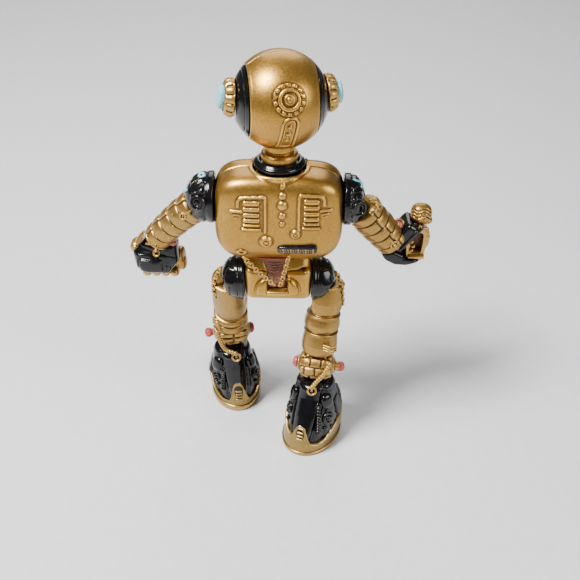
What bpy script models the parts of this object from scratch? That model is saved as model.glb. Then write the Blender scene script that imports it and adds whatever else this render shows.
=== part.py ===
"""Posable humanoid robot figure in a walking stance, gold and black, 122 mm tall.

The robot faces -Y and stands on Z = 0, so its own left is +X. Every number below is in millimetres and is
measured from the body axis, which runs up through the middle of the torso; MM turns it into metres.
The head turns on the neck, each arm turns on a shoulder peg and each leg swings on a hip peg.
"""

import math

import bmesh
import bpy
from mathutils import Matrix, Vector

MM = 0.001
GAP = 0.2  # gap between neighbouring pieces
RUNNING = 0.1  # radial clearance of a peg in the hole it turns in
WALL = 1.4  # wall of every moulded shell

# The body axis, seen from the middle of the object's footprint.
AXIS_X, AXIS_Y = -0.1, 3.53

HEAD_Z, HEAD_R, HEAD_YAW = 109.4, 12.7, 9.5
CAP_X = 8.8  # where the gold band of the head ends and the black side caps begin
EAR_RISE = 5.3  # how far each ear points above level, in degrees
NECK_R, NECK_TOP, COLLAR_Z = 4.5, 98.6, 91.4

TORSO_Z, TORSO_HALF = 76.2, (17.7, 9.5, 14.5)
SHOULDER_Z, SHOULDER_R, SHOULDER_FACE = 80.8, 7.0, 17.6
SHOULDER_DEPTH, SHOULDER_STRAIGHT = 8.4, 1.4  # how far the cup stands out, and how much of that is straight
BOSS_RISE = {"left": 1.6, "right": -1.0}
RINGS = 6  # rings along an arm
SEAT_X = 17.4  # flat seat in the torso's side for the shoulder
# How square the torso is: its outline above and below the middle, then front to back, then how much squarer it is
# front to back towards its sides and, on the rear shell only, towards its top.
FRONT_POWER = (4.2, 3.1, 2.8, 1.6, 0.0)
REAR_POWER = (4.2, 3.1, 2.2, 2.2, 3.2)
COLLAR_R, COLUMN_R = 6.0, 3.1

# Detail on the torso's back.
SPINE_X, SPINE_BUMPS = -0.9, ((88.8, 0.7), (86.3, 1.0), (83.6, 1.4), (80.5, 1.0), (78.0, 0.8))
BACK_BUTTONS = ((3.3, 72.4, 1.9), (-4.6, 75.0, 1.4))
LEFT_GRILLE_X, RIGHT_GRILLE_X, GRILLE_Z, GRILLE_HALF = 7.3, -8.6, 80.6, 4.4
VENT_AT, VENT_HALF = (-5.2, 69.9), (5.3, 1.25)

WAIST_Z, WAIST_HALF, WAIST_PANEL = 63.3, (8.5, 5.8, 1.9), 0.6
PLUG_HALF = (5.0, 3.2, 1.6)

FAR = 60  # longer than any piece, for cutters that take away a whole side
PELVIS_HALF, PELVIS_Z = (9.4, 6.5, 5.2), 56.0
HIP_Z, HIP_R, HIP_FACE, HIP_DEPTH, HIP_STRAIGHT = 54.6, 6.6, 9.6, 7.0, 1.6

PEG_R, FLANGE_R = 1.6, 2.2
PEG_REACH, PEG_HEAD = 3.2, 1.0  # how far the peg goes into the limb, and how thick its head is

# Each leg: knee centre, middle of the sole, how far the foot and the knee turn out, how far below the hip the
# thigh's drums begin, and its two cables' lines.
LEGS = {
    "left": {
        "side": 1, "knee": (15.0, -10.0, 27.2), "sole": (14.3, -13.3), "toe_out": 9, "knee_out": 13,
        "drums": (2.0, 17.5, 20.8),
        "hip_cable": ((16.8, 2.6, 58.0), (18.2, 2.2, 54.4), (18.4, 0.6, 50.6), (16.8, -1.6, 46.4)),
        "cable": ((13.2, -3.2, 22.8), (16.4, -3.2, 24.4), (17.9, -3.6, 27.6), (19.0, -3.9, 31.4),
                  (19.3, -3.7, 34.6)),
    },
    "right": {
        "side": -1, "knee": (-11.9, 5.4, 26.6), "sole": (-11.6, 6.4), "toe_out": 22, "knee_out": 9,
        "drums": (2.0, 10.8, 16.5),
        "hip_cable": ((-16.6, 3.0, 58.0), (-18.0, 2.9, 54.4), (-18.0, 2.9, 50.6), (-16.0, 2.4, 46.4)),
        "cable": ((-10.5, 12.2, 22.8), (-11.6, 12.0, 24.6), (-13.8, 11.4, 27.2), (-15.6, 9.8, 30.6),
                  (-15.8, 9.0, 34.8)),
    },
}
SOLE_A, SOLE_B, SOLE_H = 8.0, 12.0, 3.6
BOOT_TOP_Z = 21.6
# The boot's half-width and half-length at shares of its height.
BOOT_ROWS = ((0.0, 7.6, 11.4), (0.25, 7.4, 10.8), (0.5, 6.9, 8.8), (0.78, 5.9, 6.3), (1.0, 5.1, 4.9))
TAB_HALF = (1.9, 0.8, 3.6)
THIGH_R = 5.2
BARREL_LENGTH, BARREL_R = 11.6, 4.6


# ---------------------------------------------------------------------------------------------- finishes

def finish(name, colour, roughness, metallic):
    made = bpy.data.materials.new(name)
    made.use_nodes = True
    shader = made.node_tree.nodes["Principled BSDF"]
    shader.inputs["Base Color"].default_value = (*colour, 1)
    shader.inputs["Roughness"].default_value = roughness
    shader.inputs["Metallic"].default_value = metallic
    return made


def clear_scene():
    for old in list(bpy.data.objects):
        bpy.data.objects.remove(old)


clear_scene()
GOLD = finish("gold_paint", (0.42, 0.26, 0.085), 0.42, 0.75)
BLACK = finish("black_paint", (0.012, 0.012, 0.014), 0.22, 0.0)
CYAN = finish("cyan_paint", (0.16, 0.52, 0.58), 0.35, 0.0)
RED = finish("red_paint", (0.6, 0.06, 0.05), 0.4, 0.0)
BROWN = finish("brown_paint", (0.16, 0.05, 0.022), 0.5, 0.0)
INNER = finish("inner_plastic", (0.05, 0.05, 0.05), 0.6, 0.0)

figure = bpy.data.collections.new("walking_robot")
cutters = bpy.data.collections.new("cutters")
bpy.context.scene.collection.children.link(figure)
bpy.context.scene.collection.children.link(cutters)


# ------------------------------------------------------------------------------------------ body pivots

def pivot(name, at, parent=None, yaw=0.0):
    """An empty on a joint's axis. Pieces of that body are parented to it."""
    empty = bpy.data.objects.new(name, None)
    figure.objects.link(empty)
    empty["at"] = at
    origin = Vector(at)
    if parent:
        empty.parent = parent
        origin -= Vector(parent["at"])
    empty.location = origin * MM
    empty.rotation_euler.z = math.radians(yaw)
    return empty


robot = pivot("robot", (0, 0, 0))
robot.location = Vector((AXIS_X, AXIS_Y, 0)) * MM
head = pivot("head_turn", (0, 0, COLLAR_Z), robot, HEAD_YAW)
arms = {
    "left": pivot("left_shoulder_swing", (SHOULDER_FACE, 0, SHOULDER_Z), robot),
    "right": pivot("right_shoulder_swing", (-SHOULDER_FACE, 0, SHOULDER_Z), robot),
}
legs = {
    "left": pivot("left_hip_swing", (HIP_FACE, 0, HIP_Z), robot),
    "right": pivot("right_hip_swing", (-HIP_FACE, 0, HIP_Z), robot),
}


# ------------------------------------------------------------------------------------------ piece makers

def add(name, data, colour, parent, at, toward=(0, 0, 1), spin=0.0):
    """Links an object. at is from the body axis; its own +Z points toward, after a spin about that axis."""
    piece = bpy.data.objects.new(name, data)
    figure.objects.link(piece)
    if colour:
        data.materials.append(colour)
    piece.parent = parent
    piece.location = (Vector(at) - Vector(parent["at"])) * MM
    piece.rotation_mode = "QUATERNION"
    turn = Vector(toward).to_track_quat("Z", "Y") if Vector(toward).xy.length > 1e-6 else None
    own = Matrix.Rotation(math.radians(spin), 3, "Z").to_quaternion()
    piece.rotation_quaternion = turn @ own if turn else own
    return piece


def as_cutter(piece):
    figure.objects.unlink(piece)
    cutters.objects.link(piece)
    piece.hide_render = True
    piece.display_type = "WIRE"
    return piece


def combine(piece, other, operation="DIFFERENCE"):
    step = piece.modifiers.new(operation.lower(), "BOOLEAN")
    step.operation = operation
    step.object = other
    return piece


def smooth(mesh):
    mesh.shade_smooth()
    mesh.set_sharp_from_angle(angle=math.radians(40))


def mesh_of(name, build):
    """A mesh from a bmesh that build fills."""
    bm = bmesh.new()
    build(bm)
    mesh = bpy.data.meshes.new(name)
    bm.to_mesh(mesh)
    bm.free()
    smooth(mesh)
    return mesh


def box(name, half, colour, parent, at, toward=(0, 0, 1), bevel=0.0, spin=0.0):
    def build(bm):
        bmesh.ops.create_cube(bm, size=2)
        bmesh.ops.scale(bm, vec=Vector(half) * MM, verts=bm.verts)

    piece = add(name, mesh_of(name, build), colour, parent, at, toward, spin)
    if bevel:
        step = piece.modifiers.new("edge", "BEVEL")
        step.width = bevel * MM
        step.segments = 2
    return piece


def cylinder(name, radius, length, colour, parent, at, toward=(0, 0, 1), sides=16, top_radius=None):
    def build(bm):
        bmesh.ops.create_cone(
            bm, cap_ends=True, segments=sides, radius1=radius * MM,
            radius2=(radius if top_radius is None else top_radius) * MM, depth=length * MM,
        )

    return add(name, mesh_of(name, build), colour, parent, at, toward)


def ball(name, radius, colour, parent, at, sides=16, rings=8, toward=(0, 0, 1)):
    def build(bm):
        bmesh.ops.create_uvsphere(bm, u_segments=sides, v_segments=rings, radius=radius * MM)

    return add(name, mesh_of(name, build), colour, parent, at, toward)


def powers_at(power, x, z):
    """p and q of a soft block in the direction of x and z.

    power is (p above the middle, p below the middle, q), with two more numbers where q grows towards the block's
    sides and towards its top.
    """
    upper, lower, q = power[:3]
    to_side, to_top = power[3:] or (0.0, 0.0)
    p = upper if z > 0 else lower
    sideways, upward = abs(x) ** p, abs(z) ** p
    share = sideways / max(sideways + upward, 1e-9)
    return p, q + to_side * share + (to_top * (1 - share) if z > 0 else 0.0)


def soft_block(name, half, power, colour, parent, at, toward=(0, 0, 1), sides=20, rings=10, spin=0.0):
    """A box with pillowed sides: a ball whose points move out until |x|^p + |z|^p, then |y|^q, make 1."""

    def build(bm):
        bmesh.ops.create_uvsphere(bm, u_segments=sides, v_segments=rings, radius=1)
        bmesh.ops.rotate(bm, matrix=Matrix.Rotation(math.pi / 2, 3, "X"), verts=bm.verts)
        for vertex in bm.verts:
            x, y, z = (abs(c) for c in vertex.co)
            p, q = powers_at(power, x, vertex.co.z)
            size = ((x**p + z**p) ** (q / p) + y**q) ** (1 / q)
            vertex.co = Vector(c * h * MM / size for c, h in zip(vertex.co, half))

    return add(name, mesh_of(name, build), colour, parent, at, toward, spin)


def turned(name, profile, colour, parent, at, toward=(0, 0, 1), steps=16, ring=False):
    """A turned solid. profile is (radius, height) down the outer side; a ring's profile closes on itself."""
    mesh = bpy.data.meshes.new(name)
    count = len(profile)
    edges = [(i, i + 1) for i in range(count - 1)] + ([(count - 1, 0)] if ring else [])
    mesh.from_pydata([(r * MM, 0, h * MM) for r, h in profile], edges, [])
    piece = add(name, mesh, colour, parent, at, toward)
    step = piece.modifiers.new("turn", "SCREW")
    step.steps = step.render_steps = steps
    step.use_merge_vertices = True
    step.merge_threshold = 1e-6
    return piece


def arc(radius, depth, start, end, count):
    """Points of a quarter-ellipse-like arc as (radius, height), angles in degrees up from the rim."""
    for i in range(count + 1):
        t = math.radians(start + (end - start) * i / count)
        yield radius * math.cos(t), depth * math.sin(t)


def tube(name, points, radius, colour, parent, roundness=2, swell=None):
    """A tube along points, which are from the body axis. swell gives each point's share of the radius."""
    curve = bpy.data.curves.new(name, "CURVE")
    curve.dimensions = "3D"
    curve.bevel_depth = radius * MM
    curve.bevel_resolution = roundness
    curve.use_fill_caps = True
    line = curve.splines.new("POLY")
    line.points.add(len(points) - 1)
    origin = Vector(parent["at"])
    for i, point in enumerate(points):
        line.points[i].co = (*((Vector(point) - origin) * MM), 1)
        line.points[i].radius = swell[i] if swell else 1
    return add(name, curve, colour, parent, parent["at"])


def plate(name, outline, thickness, colour, parent, at, toward=(0, 0, 1), spin=0.0):
    """A flat outline of straight runs, as thick as stated, about its own middle plane."""
    curve = bpy.data.curves.new(name, "CURVE")
    curve.dimensions = "2D"
    curve.fill_mode = "BOTH"
    curve.extrude = thickness / 2 * MM
    line = curve.splines.new("POLY")
    line.points.add(len(outline) - 1)
    for point, (x, y) in zip(line.points, outline):
        point.co = (x * MM, y * MM, 0, 1)
    line.use_cyclic_u = True
    return add(name, curve, colour, parent, at, toward, spin)


def solid_mesh(piece):
    """Turns a curve piece into a welded mesh, which a Boolean can cut."""
    bpy.context.view_layer.update()
    graph = bpy.context.evaluated_depsgraph_get()
    mesh = bpy.data.meshes.new_from_object(piece.evaluated_get(graph))
    bm = bmesh.new()
    bm.from_mesh(mesh)
    bmesh.ops.remove_doubles(bm, verts=bm.verts, dist=1e-7)
    bmesh.ops.recalc_face_normals(bm, faces=bm.faces)
    bm.to_mesh(mesh)
    bm.free()
    smooth(mesh)
    name, curve = piece.name, piece.data
    made = bpy.data.objects.new(name + "_mesh", mesh)
    figure.objects.link(made)
    made.parent = piece.parent
    made.matrix_local = piece.matrix_local
    bpy.data.objects.remove(piece)
    bpy.data.curves.remove(curve)
    made.name = name
    return made


def catmull_rom(points, per_span):
    """A smooth line through points, with per_span steps between each two."""
    line = [Vector(p) for p in points]
    line = [2 * line[0] - line[1], *line, 2 * line[-1] - line[-2]]
    made = []
    for a, b, c, d in zip(line, line[1:], line[2:], line[3:]):
        for i in range(per_span):
            t = i / per_span
            made.append(0.5 * (2 * b + (c - a) * t + (2 * a - 5 * b + 4 * c - d) * t**2
                               + (3 * b - a - 3 * c + d) * t**3))
    return [*made, line[-2]]


# ----------------------------------------------------------------------------------------------- torso

def half_space(name, parent, at, half):
    return as_cutter(box(name, half, None, parent, at))


def peg(name, parent, face, height, side, wall_x):
    """A mushroom-headed axle: its head is behind the wall and its stem runs out into the limb."""
    head_out = wall_x - WALL - 3 * GAP - face
    head_in = head_out - PEG_HEAD
    profile = [(0, PEG_REACH), (PEG_R, PEG_REACH), (PEG_R, head_out), (FLANGE_R, head_out), (FLANGE_R, head_in),
               (0, head_in)]
    turned(name, profile, INNER, parent, (side * face, 0, height), (side, 0, 0), steps=12)


def side_openings(shell, face, height, seat_r, seat_x, hole_r, tag):
    """The flat seat and the peg hole on each side, shared by the front and the rear shell."""
    for side in (1, -1):
        seat = cylinder(f"{tag}_seat_{side}", seat_r, 8, None, robot, (side * (seat_x + 4), 0, height),
                        (side, 0, 0), sides=20)
        hole = cylinder(f"{tag}_hole_{side}", hole_r, 14, None, robot, (side * face, 0, height),
                        (side, 0, 0), sides=12)
        combine(shell, as_cutter(seat))
        combine(shell, as_cutter(hole))


def torso_shell(name, facing):
    """Half of the torso: facing is 1 for the rear shell and -1 for the front one."""
    at = (0, 0, TORSO_Z)
    power = REAR_POWER if facing == 1 else FRONT_POWER
    shell = soft_block(name, TORSO_HALF, power, GOLD, robot, at, sides=24, rings=12)
    inner = [h - WALL for h in TORSO_HALF]
    combine(shell, as_cutter(soft_block(f"{name}_hollow", inner, power, None, robot, at)))
    if facing == 1:
        torso_relief(shell)
    else:
        dial = cylinder("chest_dial_boss", 3.4, 2, None, robot, (0, -9.2, 82), (0, -1, 0), 16, top_radius=3.0)
        combine(shell, as_cutter(dial), "UNION")
    combine(shell, half_space(f"{name}_half", robot, (0, facing * (FAR / 2 + GAP / 2), TORSO_Z),
                              (FAR / 2, FAR / 2, FAR / 2)), "INTERSECT")
    neck_hole = cylinder(f"{name}_neck_hole", COLLAR_R + 1.5 * GAP, 8, None, robot, (0, 0, COLLAR_Z), sides=20)
    combine(shell, as_cutter(neck_hole))
    opening = [WAIST_HALF[0] + 2 * GAP, WAIST_HALF[1] + WAIST_PANEL + 2 * GAP, WAIST_HALF[2] + GAP]
    combine(shell, as_cutter(box(f"{name}_waist_hole", opening, None, robot, (0, 0, WAIST_Z))))
    side_openings(shell, SHOULDER_FACE, SHOULDER_Z, SHOULDER_R + 0.5, SEAT_X, PEG_R + RUNNING, name)
    return shell


def on_back(x, z, lift=0.0):
    """The point on the torso's rear surface at x and z, lifted off it by lift."""
    own_x, own_z = x / TORSO_HALF[0], (z - TORSO_Z) / TORSO_HALF[2]
    p, q = powers_at(REAR_POWER, own_x, own_z)
    across = (abs(own_x) ** p + abs(own_z) ** p) ** (q / p)
    return Vector((x, TORSO_HALF[1] * (1 - across) ** (1 / q) + lift, z))


def back_normal(x, z, step=0.2):
    """The direction the torso's rear surface faces at x and z."""
    along = on_back(x + step, z) - on_back(x - step, z)
    up = on_back(x, z + step) - on_back(x, z - step)
    return up.cross(along).normalized()


def torso_relief(shell):
    """Raised detail moulded on the rear shell."""
    for i, (z, r) in enumerate(SPINE_BUMPS):
        combine(shell, as_cutter(ball(f"spine_bump_{i}", r, None, robot, on_back(SPINE_X, z), 8, 5)), "UNION")
    for i, (x, z, r) in enumerate(BACK_BUTTONS):
        boss = cylinder(f"back_button_{i}", r, 2, None, robot, on_back(x, z), back_normal(x, z), sides=12,
                        top_radius=r * 0.7)
        combine(shell, as_cutter(boss), "UNION")
    for side, x in (("left", LEFT_GRILLE_X), ("right", RIGHT_GRILLE_X)):
        grille = box(f"{side}_back_grille", (2.5, GRILLE_HALF, 0.8), None, robot, on_back(x, GRILLE_Z, -0.1),
                     back_normal(x, GRILLE_Z))
        combine(shell, as_cutter(grille), "UNION")


def build_torso():
    rear = torso_shell("torso_rear_shell", 1)
    torso_shell("torso_front_shell", -1)
    turned("neck_collar", [(6.0, 1.6), (6.9, 0.9), (6.9, 0.1), (COLLAR_R, -0.3), (COLLAR_R, -2.6),
                           (COLUMN_R + RUNNING, -2.6), (COLUMN_R + RUNNING, 0.2), (5.2, 0.2), (5.2, 1.6)],
           BLACK, robot, (0, 0, COLLAR_Z), steps=24, ring=True)
    # A slotted plate low on the back, set into a shallow pocket.
    half, high = VENT_HALF
    corner = 0.6
    outline = [(-half, corner - high), (corner - half, -high), (half - corner, -high), (half, corner - high),
               (half, high - corner), (half - corner, high), (corner - half, high), (-half, high - corner)]
    way = back_normal(*VENT_AT)
    plate("lower_back_vent", outline, 1.2, BLACK, robot, on_back(*VENT_AT) + way * 0.3, way)
    pocket = box("vent_pocket", (half + GAP, high + GAP, 0.6 + GAP), None, robot,
                 on_back(*VENT_AT) + way * 0.3, way)
    combine(rear, as_cutter(pocket))


def build_pelvis():
    """The pelvis halves, the block that joins them to the torso, and the chains that drape behind."""
    inner = [h - WALL for h in PELVIS_HALF]
    at = (0, 0, PELVIS_Z)
    for name, facing in (("pelvis_rear_shell", 1), ("pelvis_front_shell", -1)):
        shell = box(name, PELVIS_HALF, GOLD, robot, at, bevel=1.2)
        combine(shell, as_cutter(box(f"{name}_hollow", inner, None, robot, at)))
        combine(shell, half_space(f"{name}_half", robot, (0, facing * (FAR / 2 + GAP / 2), PELVIS_Z),
                                  (FAR / 2, FAR / 2, FAR / 2)), "INTERSECT")
        combine(shell, as_cutter(box(f"{name}_top", (PLUG_HALF[0] + GAP, PLUG_HALF[1] + GAP, 3), None, robot,
                                     (0, 0, PELVIS_Z + PELVIS_HALF[2]))))
        side_openings(shell, HIP_FACE, HIP_Z, HIP_R, HIP_FACE + GAP, PEG_R + RUNNING, name)
    block = box("waist_block", WAIST_HALF, GOLD, robot, (0, 0, WAIST_Z), bevel=0.4)
    combine(block, as_cutter(box("waist_plug", PLUG_HALF, None, robot, (0, 0, 60.6))), "UNION")
    low = WAIST_Z - WAIST_HALF[2]
    trapezoid = [(-5.4, 3.2), (-3.4, 0.5), (0.8, 0.5), (2.6, 3.2)]
    plate("waist_panel", trapezoid, WAIST_PANEL, BROWN, robot, (0, WAIST_HALF[1] + GAP + WAIST_PANEL / 2, low),
          (0, 1, 0))

    plate("chain_bracket", bracket_outline(), 1.0, GOLD, robot, (0.35, PELVIS_HALF[1] + GAP + 0.5, PELVIS_Z),
          (0, 1, 0))
    chains = {"left": ((8.8, 9.2, 66.4), (1.2, 8.7, 58.0)), "right": ((-2.7, 9.1, 66.6), (-0.75, 8.7, 58.0))}
    for side, (top, foot) in chains.items():
        sag = [Vector(top).lerp(Vector(foot), t) - Vector((0, 0, 2 * t * (1 - t))) for t in (0, 0.33, 0.66, 1)]
        tube(f"{side}_waist_chain", catmull_rom(sag, 3), 0.72, GOLD, robot, 1)


def bracket_outline():
    """Two round lobes joined by a lip, with a U between them for the chains to hang in."""
    half, height, notch, lip = 6.0, 2.8, 2.8, 1.7
    left = [(-half + height - height * math.cos(a), height * math.sin(a))
            for a in (math.radians(d) for d in range(-90, 91, 30))]
    right = [(-x, y) for x, y in reversed(left)]
    dip = [(-notch, height), (-notch, lip - height), (notch, lip - height), (notch, height)]
    return [*left, *dip, *right]


# ------------------------------------------------------------------------------------------------ head

def head_point(azimuth, elevation, radius=HEAD_R):
    """A point at that radius from the head's centre. Azimuth 0 is the face, 180 is the back."""
    a, e = math.radians(azimuth), math.radians(elevation)
    return (radius * math.sin(a) * math.cos(e), -radius * math.cos(a) * math.cos(e),
            HEAD_Z + radius * math.sin(e))


def outward(azimuth, elevation):
    x, y, z = head_point(azimuth, elevation)
    return x, y, z - HEAD_Z


def ear_way(sign):
    """The direction of an ear from the head's centre."""
    rise = math.radians(EAR_RISE)
    return Vector((sign * math.cos(rise), 0, math.sin(rise)))


def head_sphere(name, radius, colour=None, sides=20, rings=12):
    """A ball with its poles at the ears."""
    return ball(name, radius, colour, head, (0, 0, HEAD_Z), sides, rings, (1, 0, 0))


def head_patch(name, colour, low, high, half, at, bevel=0.8):
    """A curved plate that lies on the head between two radii, inside a box."""
    piece = head_sphere(name, high, colour)
    combine(piece, as_cutter(head_sphere(f"{name}_inner", low)))
    window = box(f"{name}_window", half, None, head, at, bevel=bevel)
    combine(piece, as_cutter(window), "INTERSECT")
    return piece


def build_head():
    for name, facing in (("head_rear_shell", 1), ("head_front_shell", -1)):
        shell = head_sphere(name, HEAD_R, GOLD)
        combine(shell, as_cutter(head_sphere(f"{name}_hollow", HEAD_R - WALL)))
        combine(shell, half_space(f"{name}_half", head, (0, facing * (FAR / 2 + GAP / 2), HEAD_Z),
                                  (CAP_X, FAR / 2, FAR / 2)), "INTERSECT")
        neck = cylinder(f"{name}_neck_hole", NECK_R + GAP, 6, None, head, (0, 0, NECK_TOP - 1.3))
        combine(shell, as_cutter(neck))
        if facing == 1:
            gear = gear_disc("head_gear_badge", 14, 4.1, 3.4, 1.6, head, head_point(180, 21.5, HEAD_R - 0.2),
                             outward(180, 21.5))
            combine(shell, as_cutter(gear), "UNION")
            tongue = box("head_tongue", (2.2, 3.6, 0.9), None, head, head_point(180, -21, HEAD_R - 0.45),
                         outward(180, -21), bevel=0.5)
            combine(shell, as_cutter(tongue), "UNION")
    turned("neck_column",
           [(0, 99.4), (NECK_R - 0.2, 99.4), (NECK_R - 0.2, 97.0), (4.2, 96.0), (4.2, 94.7), (4.95, 94.3),
            (4.95, 93.1), (4.4, 92.4), (COLUMN_R, 91.9), (COLUMN_R, 88.6), (4.1, 88.5), (4.1, 87.6), (0, 87.6)],
           GOLD, head, (0, 0, 0), steps=20)
    for side, sign in (("left", 1), ("right", -1)):
        cap = head_sphere(f"{side}_side_cap", HEAD_R, BLACK)
        combine(cap, as_cutter(head_sphere(f"{side}_cap_hollow", HEAD_R - WALL)))
        slab = box(f"{side}_cap_slab", (2, FAR / 2, FAR / 2), None, head, (sign * (CAP_X + GAP + 2), 0, HEAD_Z))
        combine(cap, as_cutter(slab), "INTERSECT")
        centre, way = Vector((0, 0, HEAD_Z)), ear_way(sign)
        hole = cylinder(f"{side}_cap_hole", 3.2, 8, None, head, centre + way * 12, way)
        combine(cap, as_cutter(hole))
        ear_knob(f"{side}_ear_knob", centre, way)
        turned(f"{side}_ear_lens", [(0, 1.5), *list(arc(3.05, 1.5, 65, 0, 4)), (3.05, -0.1), (0, -0.1)],
               CYAN, head, centre + way * 14.85, way, steps=14)
    head_patch("face_visor", BLACK, HEAD_R + 0.15, HEAD_R + 0.85, (7.6, 8, 3.6), (0, -11, HEAD_Z + 1.6))
    head_patch("mouth_grille", BLACK, HEAD_R + 0.15, HEAD_R + 0.75, (3.4, 5, 1.3), (0, -11.5, HEAD_Z - 4.6), 0.5)
    for side, sign in (("left", 1), ("right", -1)):
        lens = [(0, 1.1), *list(arc(2.35, 1.1, 60, 0, 3)), (2.35, -0.1), (0, -0.1)]
        turned(f"{side}_eye_lens", lens, CYAN, head, head_point(sign * 18, 7.5, HEAD_R + 1.2),
               outward(sign * 18, 7.5), steps=14)


def gear_disc(name, teeth, outer, root, thick, parent, at, toward):
    """A disc whose rim steps in and out once for each tooth."""
    outline = []
    for i in range(teeth * 4):
        radius = outer if i % 4 in (0, 1) else root
        angle = 2 * math.pi * (i - 0.5) / (teeth * 4)
        outline.append((radius * math.cos(angle), radius * math.sin(angle)))
    return solid_mesh(plate(name, outline, thick, None, parent, at, toward))


def ear_knob(name, centre, way):
    """A stepped knob with twelve fat ribs and a stem that holds it in the side cap."""
    ribs = 12

    def build(bm):
        bmesh.ops.create_cone(bm, cap_ends=True, segments=ribs * 3, radius1=5.05 * MM, radius2=4.2 * MM,
                              depth=2.9 * MM)
        for vertex in bm.verts:
            turn = math.atan2(vertex.co.y, vertex.co.x) / (2 * math.pi) * ribs * 3
            if round(turn) % 3 == 0:
                vertex.co.xy *= 0.9

    knob = add(name, mesh_of(name, build), GOLD, head, centre + way * 13.1, way)
    combine(knob, as_cutter(head_sphere(f"{name}_seat", HEAD_R + GAP)))
    stem = cylinder(f"{name}_stem", 2.9, 5.6, None, head, centre + way * 11.4, way, 12)
    combine(knob, as_cutter(stem), "UNION")


# ------------------------------------------------------------------------------------------------ arms

LEFT_ARM = ((22.4, -0.4, 78.2), (26.6, -1.6, 74.4), (31.6, -3.4, 68.8), (35.5, -5.2, 63.8))
RIGHT_ARM = ((-22.4, -0.4, 78.2), (-25.7, -1.6, 73.6), (-29.4, -3.0, 68.9), (-32.3, -4.1, 65.4))


def cup_profile(radius, depth, straight):
    """A domed cup around a blind hole for a peg, as (radius, height) from its flat face."""
    dome = [(r, h + straight) for r, h in arc(radius, depth - straight, 78, 0, 4)]
    hole, deep = PEG_R + GAP, PEG_REACH + GAP
    return [(0, depth), *dome, (radius, 0), (hole, 0), (hole, deep), (0, deep)]


def cup_clearance(name, radius, depth, straight, parent, face, height, side):
    """The solid that a limb must stay out of so that it clears its own cup."""
    dome = [(r, h + straight) for r, h in arc(radius + GAP, depth - straight + GAP, 78, 0, 4)]
    profile = [(0, depth + GAP), *dome, (radius + GAP, -1), (0, -1)]
    return as_cutter(turned(name, profile, None, parent, (side * face, 0, height), (side, 0, 0)))


def shoulder(side, sign):
    """The black shoulder cup with the round boss on its rear, and the peg it turns on."""
    dome = turned(f"{side}_shoulder_dome", cup_profile(SHOULDER_R, SHOULDER_DEPTH, SHOULDER_STRAIGHT), BLACK,
                  arms[side], (sign * SHOULDER_FACE, 0, SHOULDER_Z), (sign, 0, 0))
    boss = turned(f"{side}_dome_boss", [(0, 0.2), (1.2, 0.2), (1.6, 1.1), (2.3, 1.1), (2.3, -1.6), (0, -1.6)],
                  None, arms[side], (sign * 21.6, 5.5, SHOULDER_Z + BOSS_RISE[side]), (0.35 * sign, 1, 0), 12)
    combine(dome, as_cutter(boss), "UNION")
    peg(f"{side}_shoulder_peg", arms[side], SHOULDER_FACE, SHOULDER_Z, sign, SEAT_X)
    return dome


def arm_tube(side, sign, path, radii):
    """The arm's five fat rings, each stepped down to the next, as one curved limb."""
    steps_per_ring = 3
    line = catmull_rom(path, RINGS * steps_per_ring // (len(path) - 1))
    sizes = []
    for i in range(len(line)):
        share = i / (len(line) - 1)
        step = (1.0, 0.99, 0.93)[i % steps_per_ring]
        sizes.append((radii[0] + (radii[1] - radii[0]) * share) * step)
    limb = solid_mesh(tube(f"{side}_arm_tube", line, 1.0, GOLD, arms[side], 2, sizes))
    combine(limb, cup_clearance(f"{side}_arm_clear", SHOULDER_R, SHOULDER_DEPTH, SHOULDER_STRAIGHT, arms[side],
                                SHOULDER_FACE, SHOULDER_Z, sign))
    return limb


def inset_ball(name, radius, colour, parent, at, host):
    """A bead sunk into its host, which is cut back around it by the gap."""
    ball(name, radius, colour, parent, at, 10, 6)
    combine(host, as_cutter(ball(f"{name}_socket", radius + GAP, None, parent, at, 10, 6)))


def build_arms():
    cups, tubes = {}, {}
    for side, sign, path, radii in (("left", 1, LEFT_ARM, (4.6, 3.7)), ("right", -1, RIGHT_ARM, (4.8, 4.5))):
        cups[side] = shoulder(side, sign)
        tubes[side] = arm_tube(side, sign, path, radii)
    inset_ball("left_shoulder_bead", 1.3, CYAN, arms["left"], (20.9, 0.6, SHOULDER_Z + 7.0), cups["left"])
    turned("right_shoulder_ring", [(1.5, 0.5), (1.5, -0.5), (0.7, -0.5), (0.7, 0.5)], CYAN, arms["right"],
           (-21.3, 2.2, SHOULDER_Z + 7.0), (-0.4, 0.3, 1), steps=12, ring=True)
    left_hand(arms["left"], tubes["left"])
    right_hand(arms["right"], tubes["right"])


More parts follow.
